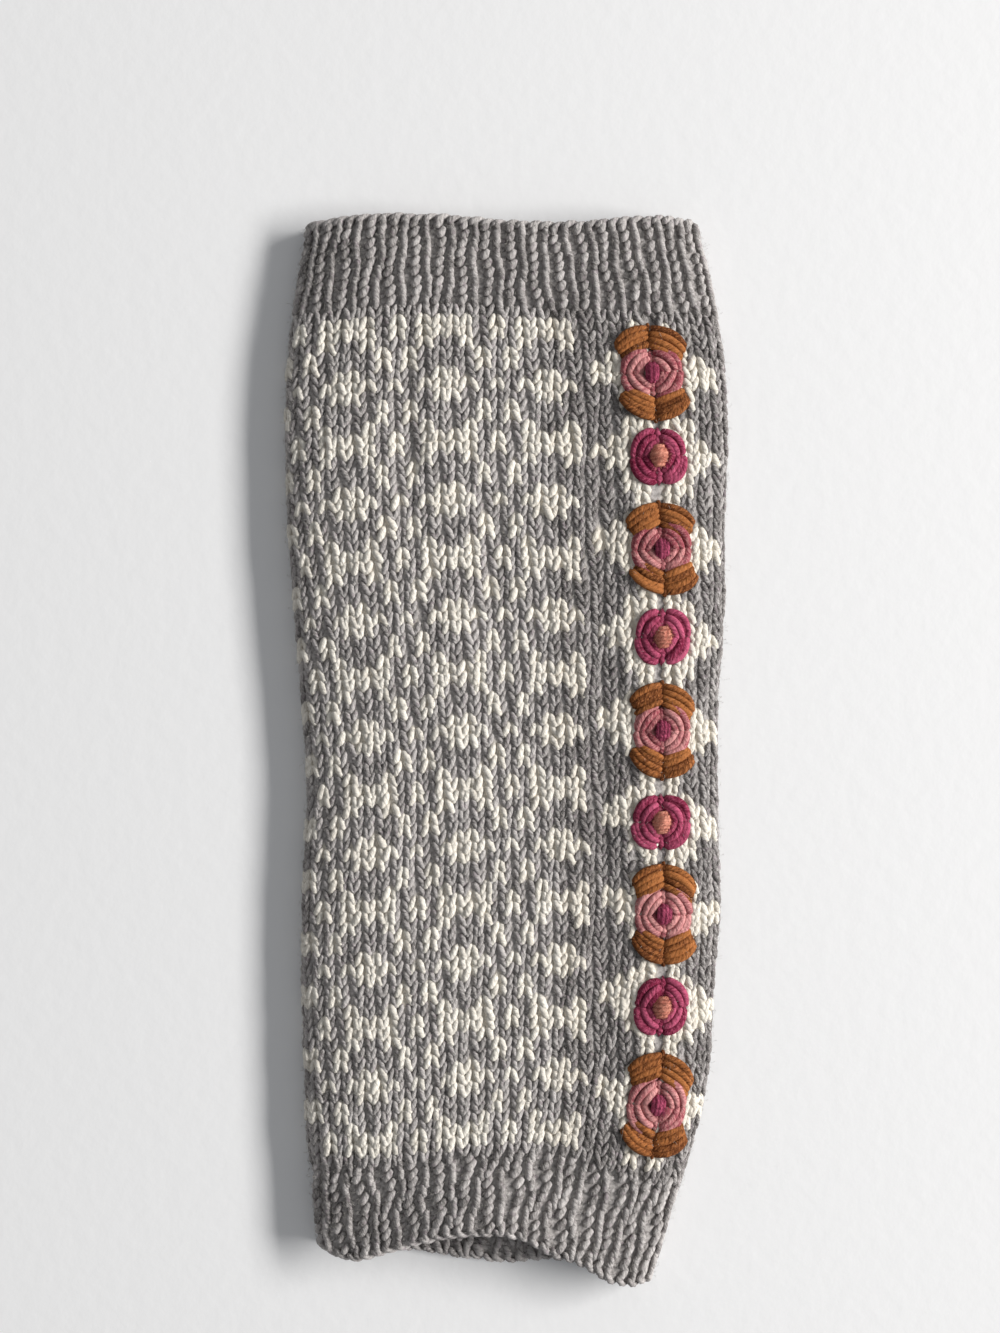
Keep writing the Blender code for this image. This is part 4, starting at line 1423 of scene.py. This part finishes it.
class LEGWARMER_OT_small_roses(bpy.types.Operator):
    """Embroiders the magenta roses with their salmon knots."""

    bl_idname = "leg_warmer.small_roses"
    bl_label = "Small roses"

    def execute(self, context):
        thick = scene_sizes().thread
        rng = np.random.default_rng(SEED + 4)
        petals, knots = [], []
        for rose in SMALL_ROSES:
            sizes = (rose.half_width, rose.half_height)
            petals.append(petal_yarn(rose, *sizes, SMALL_PETALS, SMALL_PAST_END, thick, rng))
            knots.append(knot_yarn(rose, SMALL_KNOT, thick, rng))
        for name, yarns, yarn_name, slot, kind in (
            ("small_rose_petals", petals, "magenta_wool", "magenta_petals", "petals"),
            ("small_rose_knots", knots, "salmon_wool", "salmon_knots", "knot"),
        ):
            nodes = [f"small_rose_{number}_{kind}" for number in range(1, len(SMALL_ROSES) + 1)]
            add_embroidery(name, yarns, wool(yarn_name), nodes, rng)
        return {"FINISHED"}


class LEGWARMER_OT_declare(bpy.types.Operator):
    """Looks up the backing cloth piece by its name and changes nothing."""

    bl_idname = "leg_warmer.declare"
    bl_label = "Cloth facts"

    def execute(self, context):
        cloth_piece = bpy.data.objects["backing_cloth"]
        return {"FINISHED"}


# Millimetres for the camera, and metres for the window and the floor
CAMERA_AT = (-2.1, 28.0, 580.0)
CAMERA_LENS = 46.0
CAMERA_SENSOR = 36.0
KEY_AT = (3.4, 0.4, 1.6)
KEY_SIZE = (2.8, 0.7)
KEY_POWER = 246.0
KEY_COLOUR = (1.0, 0.985, 0.96)
WORLD_COLOUR = (0.96, 0.98, 1.0, 1.0)
WORLD_STRENGTH = 0.30
FLOOR_SIZE = 12.0


class LEGWARMER_OT_stage(bpy.types.Operator):
    """Sets the pale floor, the soft light from the right and the camera."""

    bl_idname = "leg_warmer.stage"
    bl_label = "Stage"

    def execute(self, context):
        colours = scene_colours()
        shape = bmesh.new()
        bmesh.ops.create_grid(shape, x_segments=1, y_segments=1, size=FLOOR_SIZE / 2.0)
        mesh = bpy.data.meshes.new("floor")
        shape.to_mesh(mesh)
        shape.free()
        mesh.materials.append(floor_finish("pale_floor", colours.floor))
        floor = bpy.data.objects.new("floor", mesh)
        context.scene.collection.objects.link(floor)

        camera = bpy.data.objects.new("camera", bpy.data.cameras.new("camera"))
        camera.data.lens = CAMERA_LENS
        camera.data.sensor_width = CAMERA_SENSOR
        camera.location = [value * MM for value in CAMERA_AT]
        context.scene.collection.objects.link(camera)
        context.scene.camera = camera

        key = bpy.data.objects.new("window_light", bpy.data.lights.new("window_light", "AREA"))
        key.data.shape = "RECTANGLE"
        key.data.size, key.data.size_y = KEY_SIZE
        key.data.energy = KEY_POWER
        key.data.color = KEY_COLOUR
        key.location = KEY_AT
        key.rotation_euler = (-key.location).to_track_quat("-Z", "Y").to_euler()
        context.scene.collection.objects.link(key)

        world = bpy.data.worlds.new("soft_room")
        world.use_nodes = True
        background = world.node_tree.nodes["Background"]
        background.inputs["Color"].default_value = WORLD_COLOUR
        background.inputs["Strength"].default_value = WORLD_STRENGTH
        context.scene.world = world
        context.scene.view_settings.view_transform = "Standard"
        return {"FINISHED"}


class LEGWARMER_PT_panel(bpy.types.Panel):
    """Lists the leg warmer's pieces, sizes and colours."""

    bl_idname = "LEGWARMER_PT_panel"
    bl_label = "Leg Warmer"
    bl_space_type = "VIEW_3D"
    bl_region_type = "UI"
    bl_category = "Leg Warmer"

    def draw(self, context):
        for settings in (context.scene.leg_warmer_sizes, context.scene.leg_warmer_colours):
            for name in settings.__annotations__:
                self.layout.prop(settings, name)
        for operator in OPERATORS:
            self.layout.operator(operator.bl_idname)


OPERATORS = (
    LEGWARMER_OT_cloth,
    LEGWARMER_OT_leg_stitches,
    LEGWARMER_OT_cuffs,
    LEGWARMER_OT_hems,
    LEGWARMER_OT_fibres,
    LEGWARMER_OT_large_roses,
    LEGWARMER_OT_small_roses,
    LEGWARMER_OT_declare,
    LEGWARMER_OT_stage,
)
CLASSES = (KnitSizes, KnitColours, *OPERATORS, LEGWARMER_PT_panel)


def register():
    for made in CLASSES:
        bpy.utils.register_class(made)
    bpy.types.Scene.leg_warmer_sizes = PointerProperty(type=KnitSizes)
    bpy.types.Scene.leg_warmer_colours = PointerProperty(type=KnitColours)


def unregister():
    del bpy.types.Scene.leg_warmer_colours
    del bpy.types.Scene.leg_warmer_sizes
    for made in reversed(CLASSES):
        bpy.utils.unregister_class(made)


def main():
    register()
    bpy.ops.leg_warmer.cloth()
    bpy.ops.leg_warmer.leg_stitches()
    bpy.ops.leg_warmer.cuffs()
    bpy.ops.leg_warmer.hems()
    bpy.ops.leg_warmer.fibres()
    bpy.ops.leg_warmer.large_roses()
    bpy.ops.leg_warmer.small_roses()
    bpy.ops.leg_warmer.declare()
    bpy.ops.leg_warmer.stage()


if __name__ == "__main__":
    main()
